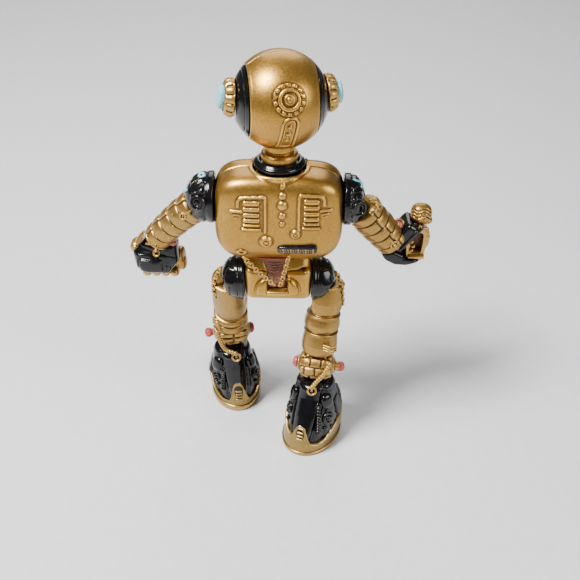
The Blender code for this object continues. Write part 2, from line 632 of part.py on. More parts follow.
def left_hand(parent, limb):
    """A closed fist: a black gauntlet over the back of the hand, gold fingers and a thumb in front."""
    power = (3.4, 3.4, 3.4)
    middle = Vector((36.2, -5.6, 57.5))
    gauntlet = soft_block("left_gauntlet", (6.6, 3.7, 5.9), power, BLACK, parent, middle, sides=16, rings=8)
    combine(gauntlet, as_cutter(ball("left_wrist_clear", 4.9, None, parent, (35.1, -5.0, 65.1), 16, 8)))
    fist = Vector((34.6, -12.0, 52.8))
    hand = soft_block("left_hand", (6.3, 2.6, 5.4), power, GOLD, parent, fist, sides=16, rings=8)
    thumb = (2.5, 4.8, 3.4)
    thumb_at, lean = Vector((38.9, -10.8, 59.2)), (0.2, 0, 1)
    round_power = (2.4, 2.4, 2.4)
    combine(hand, as_cutter(soft_block("left_thumb", thumb, round_power, None, parent, thumb_at, lean, 12, 6)),
            "UNION")
    around = [size + GAP for size in thumb]
    combine(gauntlet, as_cutter(soft_block("left_thumb_clear", around, round_power, None, parent, thumb_at, lean,
                                           12, 6)))
    turned("left_wrist_ring", [(1.6, 0.4), (1.6, -0.4), (0.8, -0.4), (0.8, 0.4)], GOLD, parent,
           (35.2, -0.6, 60.6), (0.1, 1, 0.5), steps=12, ring=True)
    button, size = (30.9, -4.0, 63.4), 1.3
    inset_ball("left_wrist_button", size, RED, parent, button, gauntlet)
    combine(limb, as_cutter(ball("left_button_clear", size + GAP, None, parent, button, 10, 6)))


def right_hand(parent, limb):
    """An open hand: a black gauntlet plate around the arm's end, and a gold hand that makes a grip."""
    lean = (-0.6, 0, 0.8)
    gauntlet = box("right_gauntlet", (4.8, 2.0, 7.2), BLACK, parent, (-34.1, -6.0, 65.2), lean, bevel=1.2)
    combine(gauntlet, as_cutter(ball("right_wrist_clear", 5.7, None, parent, (-31.1, -3.5, 67.5), 16, 8)))
    middle = Vector((-40.0, -7.2, 64.0))
    outline = [(-37.4, 65.4), (-36.8, 62.6), (-37.3, 59.2), (-38.8, 57.7), (-42.4, 59.2), (-43.3, 62.0),
               (-43.4, 66.6), (-42.4, 67.8), (-41.6, 66.8), (-41.6, 61.8), (-40.6, 61.0), (-39.3, 61.6),
               (-39.3, 64.4), (-39.6, 68.4)]
    palm = plate("right_hand", [(x - middle.x, z - middle.z) for x, z in outline], 6.4, GOLD, parent, middle)
    palm.rotation_quaternion = Matrix.Rotation(math.pi / 2, 3, "X").to_quaternion()
    palm = solid_mesh(palm)
    thumb_at, thumb, power = Vector((-40.3, -7.2, 72.4)), (3.1, 2.9, 3.3), (2.4, 2.4, 2.4)
    web = box("right_thumb_web", (2.2, 0.7, 3.0), None, parent, (-40.7, -7.2, 68.6), (-0.35, 0, 1))
    combine(palm, as_cutter(web), "UNION")
    combine(palm, as_cutter(soft_block("right_thumb", thumb, power, None, parent, thumb_at, sides=14, rings=8)),
            "UNION")
    around = [size + GAP for size in thumb]
    combine(gauntlet, as_cutter(soft_block("right_thumb_clear", around, power, None, parent, thumb_at,
                                           sides=14, rings=8)))
    combine(gauntlet, as_cutter(box("right_web_clear", (2.2 + GAP, 0.7 + GAP, 3.0 + GAP), None, parent,
                                    (-40.7, -7.2, 68.6), (-0.35, 0, 1))))
    inset_ball("right_wrist_button", 1.1, RED, parent, (-34.0, -3.2, 70.9), limb)


# ------------------------------------------------------------------------------------------------ legs

def turned_out(sign, degrees):
    """The direction of a foot's or knee's own outer side, for a leg turned out by that angle."""
    a = math.radians(degrees)
    return Vector((sign * math.cos(a), math.sin(a), 0))


def build_leg(side):
    leg, parent = LEGS[side], legs[side]
    sign, knee = leg["side"], Vector(leg["knee"])
    turned(f"{side}_hip_dome", cup_profile(HIP_R, HIP_DEPTH, HIP_STRAIGHT), BLACK, parent,
           (sign * HIP_FACE, 0, HIP_Z), (sign, 0, 0))
    peg(f"{side}_hip_peg", parent, HIP_FACE, HIP_Z, sign, PELVIS_HALF[0])
    thigh(side, parent, sign, knee)
    knee_barrel(side, parent, knee, turned_out(sign, leg["knee_out"]))
    knee_cable(side, parent, leg["cable"])
    boot_sole(side, parent, leg["sole"], sign * leg["toe_out"])
    boot(side, parent, knee, leg["sole"], sign * leg["toe_out"])


def thigh(side, parent, sign, knee):
    """Stacked drums between the hip cup and the knee barrel."""
    hip = Vector((sign * (HIP_FACE + 4.8), 0, HIP_Z))
    way = (knee - hip).normalized()
    length = (knee - hip).length - BARREL_R - GAP
    starts = LEGS[side]["drums"]
    profile = [(0, -starts[0]), (THIGH_R * 0.86, -starts[0])]
    for start, end in zip(starts, (*starts[1:], length)):
        for drop, radius in ((0.2, 0.9), (1.0, 1.0), (end - start - 0.2, 0.93)):
            profile.append((THIGH_R * radius, -(start + drop)))
    profile += [(THIGH_R * 0.8, -length - 2), (0, -length - 2)]
    limb = turned(f"{side}_thigh", profile, GOLD, parent, hip, -way, steps=16)
    combine(limb, cup_clearance(f"{side}_thigh_clear", HIP_R, HIP_DEPTH, HIP_STRAIGHT, parent, HIP_FACE, HIP_Z,
                                sign))
    out = turned_out(sign, LEGS[side]["knee_out"])
    end = cylinder(f"{side}_thigh_end", BARREL_R + 1.5 * GAP, 2 * BARREL_LENGTH, None, parent, knee, out, 20)
    combine(limb, as_cutter(end))
    cable = solid_mesh(tube(f"{side}_hip_cable", catmull_rom(LEGS[side]["hip_cable"], 3), 0.85, None, parent, 1))
    combine(limb, as_cutter(cable), "UNION")


def knee_barrel(side, parent, knee, outer_way):
    """A barrel lying across the leg, with a red tip at each end."""
    half = BARREL_LENGTH / 2
    bulge = [(1.0, 0.42), (0.84, 0.72), (0.5, 0.95), (0.0, 1.0), (-0.5, 0.95), (-0.84, 0.72), (-1.0, 0.42)]
    profile = [(0, half), *[(BARREL_R * r, half * h) for h, r in bulge], (0, -half)]
    turned(f"{side}_knee_barrel", profile, GOLD, parent, knee, outer_way)
    tips = {"outer": (outer_way, [(0, 2.6), (1.1, 2.3), (1.45, 1.5), (1.2, 0.8), (1.2, 0.0), (0, 0)]),
            "inner": (-outer_way, [(0, 1.4), (1.1, 1.2), (1.7, 0.6), (1.85, 0.0), (0, 0)])}
    for place, (way, shape) in tips.items():
        turned(f"{side}_knee_{place}_tip", shape, RED, parent, knee + way * (half + GAP), way, steps=12)


def knee_cable(side, parent, path):
    """A rigid moulded cable from a ring on the boot, around the barrel's rear, to the thigh."""
    line = catmull_rom([Vector(p) for p in path], 3)
    cable = solid_mesh(tube(f"{side}_knee_cable", line, 0.75, GOLD, parent, 1))
    low = Vector(path[0]) + Vector((0, -0.1, -1.5))
    ring = turned(f"{side}_cable_ring", [(1.6, 0.45), (1.6, -0.45), (0.7, -0.45), (0.7, 0.45)], None, parent,
                  low, (0, 1, 0.4), steps=12, ring=True)
    combine(cable, as_cutter(ring), "UNION")


def boot_sole(side, parent, sole, turn):
    """The oval sole with the tab that stands up behind the heel."""
    oval = [(SOLE_A * math.cos(t), SOLE_B * math.sin(t)) for t in (math.radians(18 * i) for i in range(20))]
    foot = solid_mesh(plate(f"{side}_boot_sole", oval, SOLE_H, GOLD, parent, (*sole, SOLE_H / 2), spin=turn))
    tab = box(f"{side}_heel_tab", TAB_HALF, None, parent, heel_of(sole, turn), bevel=0.4, spin=turn)
    combine(foot, as_cutter(tab), "UNION")


def heel_of(sole, turn):
    """The middle of the heel tab."""
    heel = Vector((0, SOLE_B - TAB_HALF[1], SOLE_H + TAB_HALF[2] - 1))
    heel.rotate(Matrix.Rotation(math.radians(turn), 3, "Z"))
    return heel + Vector((*sole, 0))


def boot(side, parent, knee, sole, turn):
    """The black boot: wide over the sole, and narrower where it meets the barrel."""
    bottom = SOLE_H + GAP

    def build(bm):
        bmesh.ops.create_cone(bm, cap_ends=True, segments=20, radius1=1, radius2=1, depth=1)
        bmesh.ops.translate(bm, vec=(0, 0, 0.5), verts=bm.verts)
        for level, _, _ in BOOT_ROWS[1:-1]:
            bmesh.ops.bisect_plane(bm, geom=[*bm.verts, *bm.edges, *bm.faces], plane_co=(0, 0, level),
                                   plane_no=(0, 0, 1))
        top = Vector((knee.x - sole[0], knee.y - sole[1], 0))
        top.rotate(Matrix.Rotation(math.radians(-turn), 3, "Z"))
        for vertex in bm.verts:
            x, y, t = vertex.co
            _, wide, long = min(BOOT_ROWS, key=lambda row: abs(row[0] - t))
            shift = t * t * (3 - 2 * t)
            height = bottom + (BOOT_TOP_Z - bottom) * t
            vertex.co = Vector((x * wide + top.x * shift, y * long + top.y * shift, height)) * MM

    shaft = add(f"{side}_boot", mesh_of(f"{side}_boot", build), BLACK, parent, (*sole, 0), spin=turn)
    around = [size + GAP for size in TAB_HALF]
    combine(shaft, as_cutter(box(f"{side}_tab_clear", around, None, parent, heel_of(sole, turn), spin=turn)))
    out = turned_out(LEGS[side]["side"], LEGS[side]["knee_out"])
    combine(shaft, as_cutter(cylinder(f"{side}_boot_clear", BARREL_R + GAP, 2 * BARREL_LENGTH, None, parent, knee,
                                      out, 20)))


build_torso()
build_pelvis()
build_head()
build_arms()
for which in LEGS:
    build_leg(which)
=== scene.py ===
"""Looks of the posable robot figure: detailed castings and painted finishes on the CAD frame.

Lengths are in millimetres from the body axis through the neck, except on the stage, and MM turns them
into metres. The robot faces -Y, so its own left is +X. Each piece rides on a body of the CAD frame, and
most of them stand for CAD nodes.
"""

import math

import bmesh
import bpy
import numpy as np
from mathutils import Matrix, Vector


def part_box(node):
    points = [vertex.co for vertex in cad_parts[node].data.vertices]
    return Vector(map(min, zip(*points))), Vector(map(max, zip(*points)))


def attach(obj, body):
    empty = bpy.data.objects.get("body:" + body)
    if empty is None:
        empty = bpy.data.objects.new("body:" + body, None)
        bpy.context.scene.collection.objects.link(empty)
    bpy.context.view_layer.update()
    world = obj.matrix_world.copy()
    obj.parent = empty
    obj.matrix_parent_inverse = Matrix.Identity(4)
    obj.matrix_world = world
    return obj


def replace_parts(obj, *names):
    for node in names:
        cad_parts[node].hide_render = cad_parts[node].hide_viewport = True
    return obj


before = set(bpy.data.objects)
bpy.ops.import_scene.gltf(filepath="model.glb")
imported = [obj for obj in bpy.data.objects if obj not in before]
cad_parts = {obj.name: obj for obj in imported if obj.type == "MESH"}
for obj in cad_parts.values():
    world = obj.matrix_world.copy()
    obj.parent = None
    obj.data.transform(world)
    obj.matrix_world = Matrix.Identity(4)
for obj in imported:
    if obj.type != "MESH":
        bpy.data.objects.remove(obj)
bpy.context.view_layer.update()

MM = 0.001
neck_low, neck_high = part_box("neck_column")
AXIS = np.array([(neck_low.x + neck_high.x) / 2, (neck_low.y + neck_high.y) / 2, 0.0])
TAU = 2 * math.pi
SIGN = {"left": 1, "right": -1}  # which way along x each side lies


def centre(node):
    """The middle of a CAD node's box, in millimetres from the body axis."""
    low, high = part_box(node)
    return (np.array(low + high) / 2 - AXIS) / MM


def half_size(node):
    low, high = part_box(node)
    return np.array(high - low) / 2 / MM


# ------------------------------------------------------------------------------------------- plain maths

def unit(vector):
    vector = np.asarray(vector, float)
    return vector / np.linalg.norm(vector)


def basis(axis, up=(0, 0, 1)):
    """Rows x, y, z of a local frame whose z is axis and whose y is as near up as it can be."""
    z = unit(axis)
    up = np.asarray(up, float)
    if abs(unit(up) @ z) > 0.98:
        up = np.array([0.0, 1.0, 0.0]) if abs(z[1]) < 0.9 else np.array([1.0, 0.0, 0.0])
    x = unit(np.cross(up, z))
    return np.array([x, np.cross(z, x), z])


def turn_z(points, degrees):
    a = math.radians(degrees)
    c, s = math.cos(a), math.sin(a)
    return np.asarray(points, float) @ np.array([[c, s, 0], [-s, c, 0], [0, 0, 1]])


def swing_from(middle, degrees):
    """How far round each angle is from middle, from -180 to 180 degrees."""
    return (degrees - middle + 180) % 360 - 180


def ease(t):
    t = np.clip(t, 0, 1)
    return t * t * (3 - 2 * t)


def raised(distance, soft=0.25):
    """1 inside a shape and 0 outside it, where distance is below 0 inside, with a soft edge."""
    return ease(0.5 - distance / soft)


def pipe(distance, radius):
    """A ridge with a round top, 1 along its middle line."""
    return np.sqrt(np.clip(1 - (distance / radius) ** 2, 0, 1))


def groove(distance, half=0.14):
    return -np.exp(-((distance / half) ** 2))


def block_distance(x, y, cx, cy, hx, hy, corner=0.3):
    qx, qy = np.abs(x - cx) - hx + corner, np.abs(y - cy) - hy + corner
    return np.hypot(np.maximum(qx, 0), np.maximum(qy, 0)) + np.minimum(np.maximum(qx, qy), 0) - corner


def line_distance(x, y, line):
    """The distance to a run of straight lines."""
    best = np.full(np.shape(x), 1e9)
    for (ax, ay), (bx, by) in zip(line, line[1:]):
        dx, dy = bx - ax, by - ay
        t = np.clip(((x - ax) * dx + (y - ay) * dy) / (dx * dx + dy * dy), 0, 1)
        best = np.minimum(best, np.hypot(x - ax - t * dx, y - ay - t * dy))
    return best


def smooth_line(points, per_span=8):
    """A smooth line through points."""
    line = np.asarray(points, float)
    line = np.vstack([2 * line[0] - line[1], line, 2 * line[-1] - line[-2]])
    made = []
    for a, b, c, d in zip(line, line[1:], line[2:], line[3:]):
        for t in np.arange(per_span) / per_span:
            made.append(0.5 * (2 * b + (c - a) * t + (2 * a - 5 * b + 4 * c - d) * t**2
                               + (3 * b - a - 3 * c + d) * t**3))
    return np.array([*made, line[-2]])


def even_line(points, count):
    """count points at even distances along a line."""
    points = np.asarray(points, float)
    far = np.concatenate([[0], np.cumsum(np.linalg.norm(np.diff(points, axis=0), axis=1))])
    at = np.linspace(0, far[-1], count)
    return np.stack([np.interp(at, far, points[:, i]) for i in range(3)], axis=1), far[-1]


def soften(profile, radius=0.2):
    """Rounds the corners of a (radius, height) profile, as a mould does."""
    points = [np.array(p, float) for p in profile]
    made = [points[0]]
    for before, corner, after in zip(points, points[1:], points[2:]):
        back, on = before - corner, after - corner
        reach = min(radius, 0.45 * np.linalg.norm(back), 0.45 * np.linalg.norm(on))
        start, end = corner + unit(back) * reach, corner + unit(on) * reach
        for t in np.linspace(0, 1, 4):
            made.append((1 - t) ** 2 * start + 2 * t * (1 - t) * corner + t * t * end)
    return np.array([*made, points[-1]])


def finer(profile, step):
    """Adds points so that no run of a profile is longer than step."""
    made = [profile[0]]
    for a, b in zip(profile, profile[1:]):
        count = max(1, math.ceil(np.linalg.norm(np.subtract(b, a)) / step))
        made += [a + (b - a) * i / count for i in range(1, count + 1)]
    return np.array(made)


def grid_normals(points, wrap=False):
    """Each grid point's outward direction, from its neighbours."""
    along = np.gradient(points, axis=0)
    if wrap:
        across = (np.roll(points, -1, axis=1) - np.roll(points, 1, axis=1)) / 2
    else:
        across = np.gradient(points, axis=1)
    normal = np.cross(along, across)
    return normal / np.maximum(np.linalg.norm(normal, axis=2, keepdims=True), 1e-9)


def half_ball(steps, short):
    """x, z and y of a square sheet stretched over half a ball, short radians away from its rim."""
    s = np.linspace(-1, 1, steps[0])[:, None]
    t = np.linspace(-1, 1, steps[1])[None, :]
    a, b = s * np.sqrt(1 - t**2 / 2), t * np.sqrt(1 - s**2 / 2)
    share = np.minimum(np.hypot(a, b), 1)
    tilt = share * (math.pi / 2 - short)
    scale = np.sin(tilt) / np.maximum(share, 1e-9)
    return a * scale, b * scale, np.cos(tilt) + 0 * a


# ---------------------------------------------------------------------------------------- shapes as meshes

class Casting:
    """Closed bodies gathered into the mesh of one piece."""

    def __init__(self):
        self.points, self.faces, self.count = [], [], 0

    def take(self, points, faces):
        points = np.asarray(points, float).reshape(-1, 3)
        self.faces += [[i + self.count for i in face] for face in faces]
        self.points.append(points)
        self.count += len(points)
        return self

    def tube_grid(self, grid):
        """A grid that is closed across, with an end face at each end."""
        m, n, _ = grid.shape
        faces = [(i * n + j, i * n + (j + 1) % n, (i + 1) * n + (j + 1) % n, (i + 1) * n + j)
                 for i in range(m - 1) for j in range(n)]
        faces += [tuple(range(n - 1, -1, -1)), tuple((m - 1) * n + j for j in range(n))]
        return self.take(grid, faces)

    def ring_grid(self, grid):
        """A grid that is closed both ways."""
        m, n, _ = grid.shape
        faces = [(i * n + j, (i + 1) % m * n + j, (i + 1) % m * n + (j + 1) % n, i * n + (j + 1) % n)
                 for i in range(m) for j in range(n)]
        return self.take(grid, faces)

    def sheet_grid(self, outer, thickness):
        """An open grid made solid: a copy goes inwards by thickness, and the rims are joined."""
        m, n, _ = outer.shape
        out = grid_normals(outer)
        if np.sum(out * (outer - outer.mean((0, 1)))) < 0:
            out = -out
        inner = outer - out * thickness
        size = m * n
        faces = []
        for i in range(m - 1):
            for j in range(n - 1):
                a, b, c, d = i * n + j, i * n + j + 1, (i + 1) * n + j + 1, (i + 1) * n + j
                faces += [(a, b, c, d), (size + d, size + c, size + b, size + a)]
        rim = [j for j in range(n)] + [i * n + n - 1 for i in range(1, m)]
        rim += [(m - 1) * n + j for j in range(n - 2, -1, -1)] + [i * n for i in range(m - 2, 0, -1)]
        for a, b in zip(rim, rim[1:] + rim[:1]):
            faces.append((b, a, size + a, size + b))
        return self.take(np.concatenate([outer.reshape(-1, 3), inner.reshape(-1, 3)]), faces)

    def lathe(self, profile, at, axis, steps=48, relief=None):
        """A turned body. relief(angle, height) lifts its surface; angle 0 is the local x."""
        profile = np.asarray(profile, float)
        angle = np.arange(steps) * TAU / steps
        radius, height = profile[:, :1], profile[:, 1:]
        grid = np.stack([radius * np.cos(angle), radius * np.sin(angle), height + 0 * angle], axis=2)
        if relief:
            way = grid_normals(grid, wrap=True)
            way *= np.sign(np.sum(way * (grid - grid.mean((0, 1))), axis=2).mean() or 1)
            grid = grid + way * relief(angle[None, :], height)[:, :, None]
        return self.tube_grid(grid @ basis(axis) + np.asarray(at, float))

    def tube(self, path, radius, sides=12, up=(0, 0, 1), relief=None, round_ends=True):
        """A tube along path. radius is a number, or one for each point; relief(share, angle) scales it."""
        path = np.asarray(path, float)
        radii = np.broadcast_to(np.asarray(radius, float), len(path)).copy()
        way = np.gradient(path, axis=0)
        way /= np.linalg.norm(way, axis=1, keepdims=True)
        if round_ends:
            cap = np.array([0.98, 0.8, 0.5, 0.2])
            first = path[0] - way[0] * radii[0] * cap[:, None]
            last = path[-1] + way[-1] * radii[-1] * cap[::-1, None]
            path = np.vstack([first, path, last])
            ends = np.sqrt(1 - cap**2)
            radii = np.concatenate([radii[0] * ends, radii, radii[-1] * ends[::-1]])
            way = np.vstack([np.repeat(way[:1], 4, 0), way, np.repeat(way[-1:], 4, 0)])
        side = basis(way[0], up)[0]
        sides_x, sides_y = [], []
        for direction in way:
            side = unit(side - direction * (side @ direction))
            sides_x.append(side)
            sides_y.append(np.cross(direction, side))
        angle = np.arange(sides) * TAU / sides
        share = np.linspace(0, 1, len(path))[:, None]
        reach = radii[:, None] * (relief(share, angle[None, :]) if relief else np.ones((1, sides)))
        grid = (path[:, None] + (reach * np.cos(angle))[:, :, None] * np.array(sides_x)[:, None]
                + (reach * np.sin(angle))[:, :, None] * np.array(sides_y)[:, None])
        return self.tube_grid(grid)

    def strand(self, points, radius, sides):
        """A tube along a smooth line through points."""
        return self.tube(smooth_line(points), radius, sides)

    def ring(self, at, axis, radius, thick, steps=28, sides=10, oval=1.0, up=(0, 0, 1), arc=1.0):
        """A ring or, with an oval over 1, a chain's link; with an arc under 1, an open hook."""
        if arc < 1:
            angle = np.linspace(0, TAU * arc, steps)
            line = np.stack([radius * np.cos(angle), oval * radius * np.sin(angle), 0 * angle], axis=1)
            return self.tube(line @ basis(axis, up) + np.asarray(at, float), thick, sides, up=axis)
        a, b = np.arange(steps) * TAU / steps, np.arange(sides) * TAU / sides
        a, b = a[:, None], b[None, :]
        grid = np.stack([(radius + thick * np.cos(b)) * np.cos(a),
                         (oval * radius + thick * np.cos(b)) * np.sin(a), thick * np.sin(b) + 0 * a], axis=2)
        return self.ring_grid(grid @ basis(axis, up) + np.asarray(at, float))

    def pebble(self, half, at, axis=(0, 1, 0), power=2.4, outline=None, relief=None, size=(56, 28),
               up=(0, 0, 1)):
        """A pillowed form: half is its half-sizes along its own x, y and z, and z points along axis.

        outline is a list of (x, y) corners that takes the place of the oval.
        relief(x, y, side) lifts its faces.
        """
        across, rows = size
        angle = np.arange(across) * TAU / across
        if outline is None:
            p = power
            rim = (np.abs(np.cos(angle)) ** p + np.abs(np.sin(angle)) ** p) ** (-1 / p)
            rim_x, rim_y = rim * np.cos(angle) * half[0], rim * np.sin(angle) * half[1]
        else:
            rim_x, rim_y = rim_of(outline, angle)
        tilt = np.linspace(-math.pi / 2, math.pi / 2, rows + 2)[1:-1, None]
        q = 2 / power
        share = np.cos(tilt) ** q
        lift = np.sign(np.sin(tilt)) * np.abs(np.sin(tilt)) ** q
        x, y = share * rim_x, share * rim_y
        z = lift * half[2] + 0 * angle
        if relief:
            z = z + np.where(lift > 0, 1, -1) * relief(x, y, lift) * ease(3 * np.abs(lift))
        return self.tube_grid(np.stack([x, y, z], axis=2) @ basis(axis, up) + np.asarray(at, float))

    def loop(self, outer, inner, at, axis, half, corner):
        """A plate with a hole, from two outlines round the same middle. half is half its thickness."""
        steps = 96
        angle = np.arange(steps) * TAU / steps
        far, near = np.stack(rim_of(outer, angle, 2), axis=1), np.stack(rim_of(inner, angle, 2), axis=1)
        wide = np.linalg.norm(far - near, axis=1, keepdims=True)
        round_by = np.minimum(corner, 0.45 * wide) / wide
        rows = []
        for turn in np.linspace(0, math.pi / 2, 4):
            rows.append((round_by * (1 - math.sin(turn)), half - corner * (1 - math.cos(turn))))
        rows += [(share, -height) for share, height in rows[::-1]]
        rows += [(1 - share, -height) for share, height in rows[:4]]
        rows += [(share, -height) for share, height in rows[8:][::-1]]
        grid = np.stack([np.concatenate([far + (near - far) * share, np.full((steps, 1), height)], axis=1)
                         for share, height in rows], axis=1)
        return self.ring_grid(grid @ basis(axis) + np.asarray(at, float))

    def brick(self, half, at, axis=(0, 0, 1), corner=0.3, up=(0, 0, 1)):
        """A box with moulded, rounded edges."""
        half = np.asarray(half, float)
        corner = min(corner, 0.98 * half.min())
        turn = np.linspace(0, math.pi / 4, 4)
        for fixed in range(3):
            for sign in (1, -1):
                others = [k for k in range(3) if k != fixed]
                lines = []
                for other in others:
                    edge = half[other] - corner + corner * np.tan(turn)
                    lines.append(np.concatenate([-edge[::-1], edge]))
                first, second = np.meshgrid(*lines, indexing="ij")
                grid = np.empty((*first.shape, 3))
                grid[..., fixed] = sign * half[fixed]
                grid[..., others[0]], grid[..., others[1]] = first, second
                core = np.clip(grid, corner - half, half - corner)
                away = grid - core
                away /= np.maximum(np.linalg.norm(away, axis=2, keepdims=True), 1e-9)
                m, n, _ = grid.shape
                faces = [(i * n + j, (i + 1) * n + j, (i + 1) * n + j + 1, i * n + j + 1)
                         for i in range(m - 1) for j in range(n - 1)]
                self.take((core + corner * away) @ basis(axis, up) + np.asarray(at, float), faces)
        return self

    def bead(self, at, radius, axis=(0, 0, 1), steps=16):
        return self.pebble((radius, radius, radius), at, axis, power=2, size=(steps, steps // 2))

    def hose(self, path, radius, pitch=0.9, depth=0.24):
        """A ribbed hose."""
        _, length = even_line(smooth_line(path), 2)
        count = max(8, round(length / pitch)) * 6
        line, _ = even_line(smooth_line(path), count)
        wave = np.abs(np.sin(np.arange(count) * math.pi / 6)) ** 0.6
        return self.tube(line, radius * (1 - depth + depth * wave), 14)

    def chain(self, path, pitch=1.15, radius=0.5, thick=0.25, oval=1.45):
        """Links along a path, each a quarter turn on from the one before."""
        line = smooth_line(path)
        _, length = even_line(line, 2)
        count = max(3, round(length / pitch))
        line, _ = even_line(line, count)
        way = np.gradient(line, axis=0)
        for i, (at, direction) in enumerate(zip(line, way)):
            x, y, _ = basis(direction, (0.3, 1, 0.2))
            face = unit(x + y) if i % 2 else unit(x - y)
            self.ring(at, face, radius, thick, 18, 8, oval, up=direction)
        return self


def rim_of(outline, angle, blur=3):
    """The points where rays from the middle meet an outline, with its corners rounded."""
    corners = np.asarray(outline, float)
    reach = np.zeros(len(angle))
    for a, b in zip(corners, np.roll(corners, -1, axis=0)):
        edge = b - a
        away = np.stack([np.cos(angle), np.sin(angle)], axis=1)
        cross = away[:, 0] * edge[1] - away[:, 1] * edge[0]
        cross = np.where(np.abs(cross) < 1e-9, 1e-9, cross)
        far = (a[0] * edge[1] - a[1] * edge[0]) / cross
        share = (a[0] * away[:, 1] - a[1] * away[:, 0]) / cross
        reach = np.where((share >= -1e-6) & (share <= 1 + 1e-6) & (far > 0), np.maximum(reach, far), reach)
    for _ in range(blur):
        reach = (np.roll(reach, 1) + 2 * reach + np.roll(reach, -1)) / 4
    return reach * np.cos(angle), reach * np.sin(angle)


def crease_depth(mesh):
    """How far each vertex lies below (above 0.5) or proud of (below 0.5) the surface around it."""
    count = len(mesh.vertices)
    points = np.empty(count * 3)
    mesh.vertices.foreach_get("co", points)
    points = points.reshape(-1, 3) / MM
    normals = np.empty(count * 3)
    mesh.vertices.foreach_get("normal", normals)
    ends = np.empty(len(mesh.edges) * 2, int)
    mesh.edges.foreach_get("vertices", ends)
    a, b = ends.reshape(-1, 2).T
    step = max(float(np.linalg.norm(points[a] - points[b], axis=1).mean()), 0.02)
    near = np.bincount(a, minlength=count) + np.bincount(b, minlength=count)
    soft = points.copy()
    for _ in range(int(np.clip(2 * (0.45 / step) ** 2, 2, 30))):
        total = np.zeros_like(soft)
        for axis in range(3):
            total[:, axis] = (np.bincount(a, soft[b, axis], count) + np.bincount(b, soft[a, axis], count))
        soft = 0.5 * soft + 0.5 * total / np.maximum(near, 1)[:, None]
    depth = np.sum((soft - points) * normals.reshape(-1, 3), axis=1)
    return np.clip(0.5 + depth / 0.3, 0, 1)


def piece(name, casting, finish, body, slot, *nodes, sharp=50):
    """Makes the mesh, paints it, has it ride on a body and has it stand for its CAD nodes."""
    mesh = bpy.data.meshes.new(name)
    mesh.from_pydata((np.concatenate(casting.points) * MM + AXIS).tolist(), [], casting.faces)
    bm = bmesh.new()
    bm.from_mesh(mesh)
    bmesh.ops.remove_doubles(bm, verts=bm.verts, dist=2e-6)
    bmesh.ops.recalc_face_normals(bm, faces=bm.faces)
    bm.to_mesh(mesh)
    bm.free()
    mesh.shade_smooth()
    mesh.set_sharp_from_angle(angle=math.radians(sharp))
    layer = mesh.attributes.new("crease", "FLOAT", "POINT")
    layer.data.foreach_set("value", crease_depth(mesh).astype(np.float32))
    mesh.materials.append(finish)
    made = add_object(name, mesh)
    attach(made, body)
    if nodes:
        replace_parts(made, *nodes)
    return made


def add_object(name, data):
    made = bpy.data.objects.new(name, data)
    bpy.context.scene.collection.objects.link(made)
    return made


def build_halves(part, half, thickness, body):
    """A part's rear and front shells. half makes the one that faces its way, 1 or -1 along y."""
    for name, facing in ((f"{part}_rear", 1), (f"{part}_front", -1)):
        shell = Casting().sheet_grid(half(facing), thickness)
        piece(name, shell, GOLD, body, "gold_paint", f"{name}_shell")


# --------------------------------------------------------------------------------------------- finishes

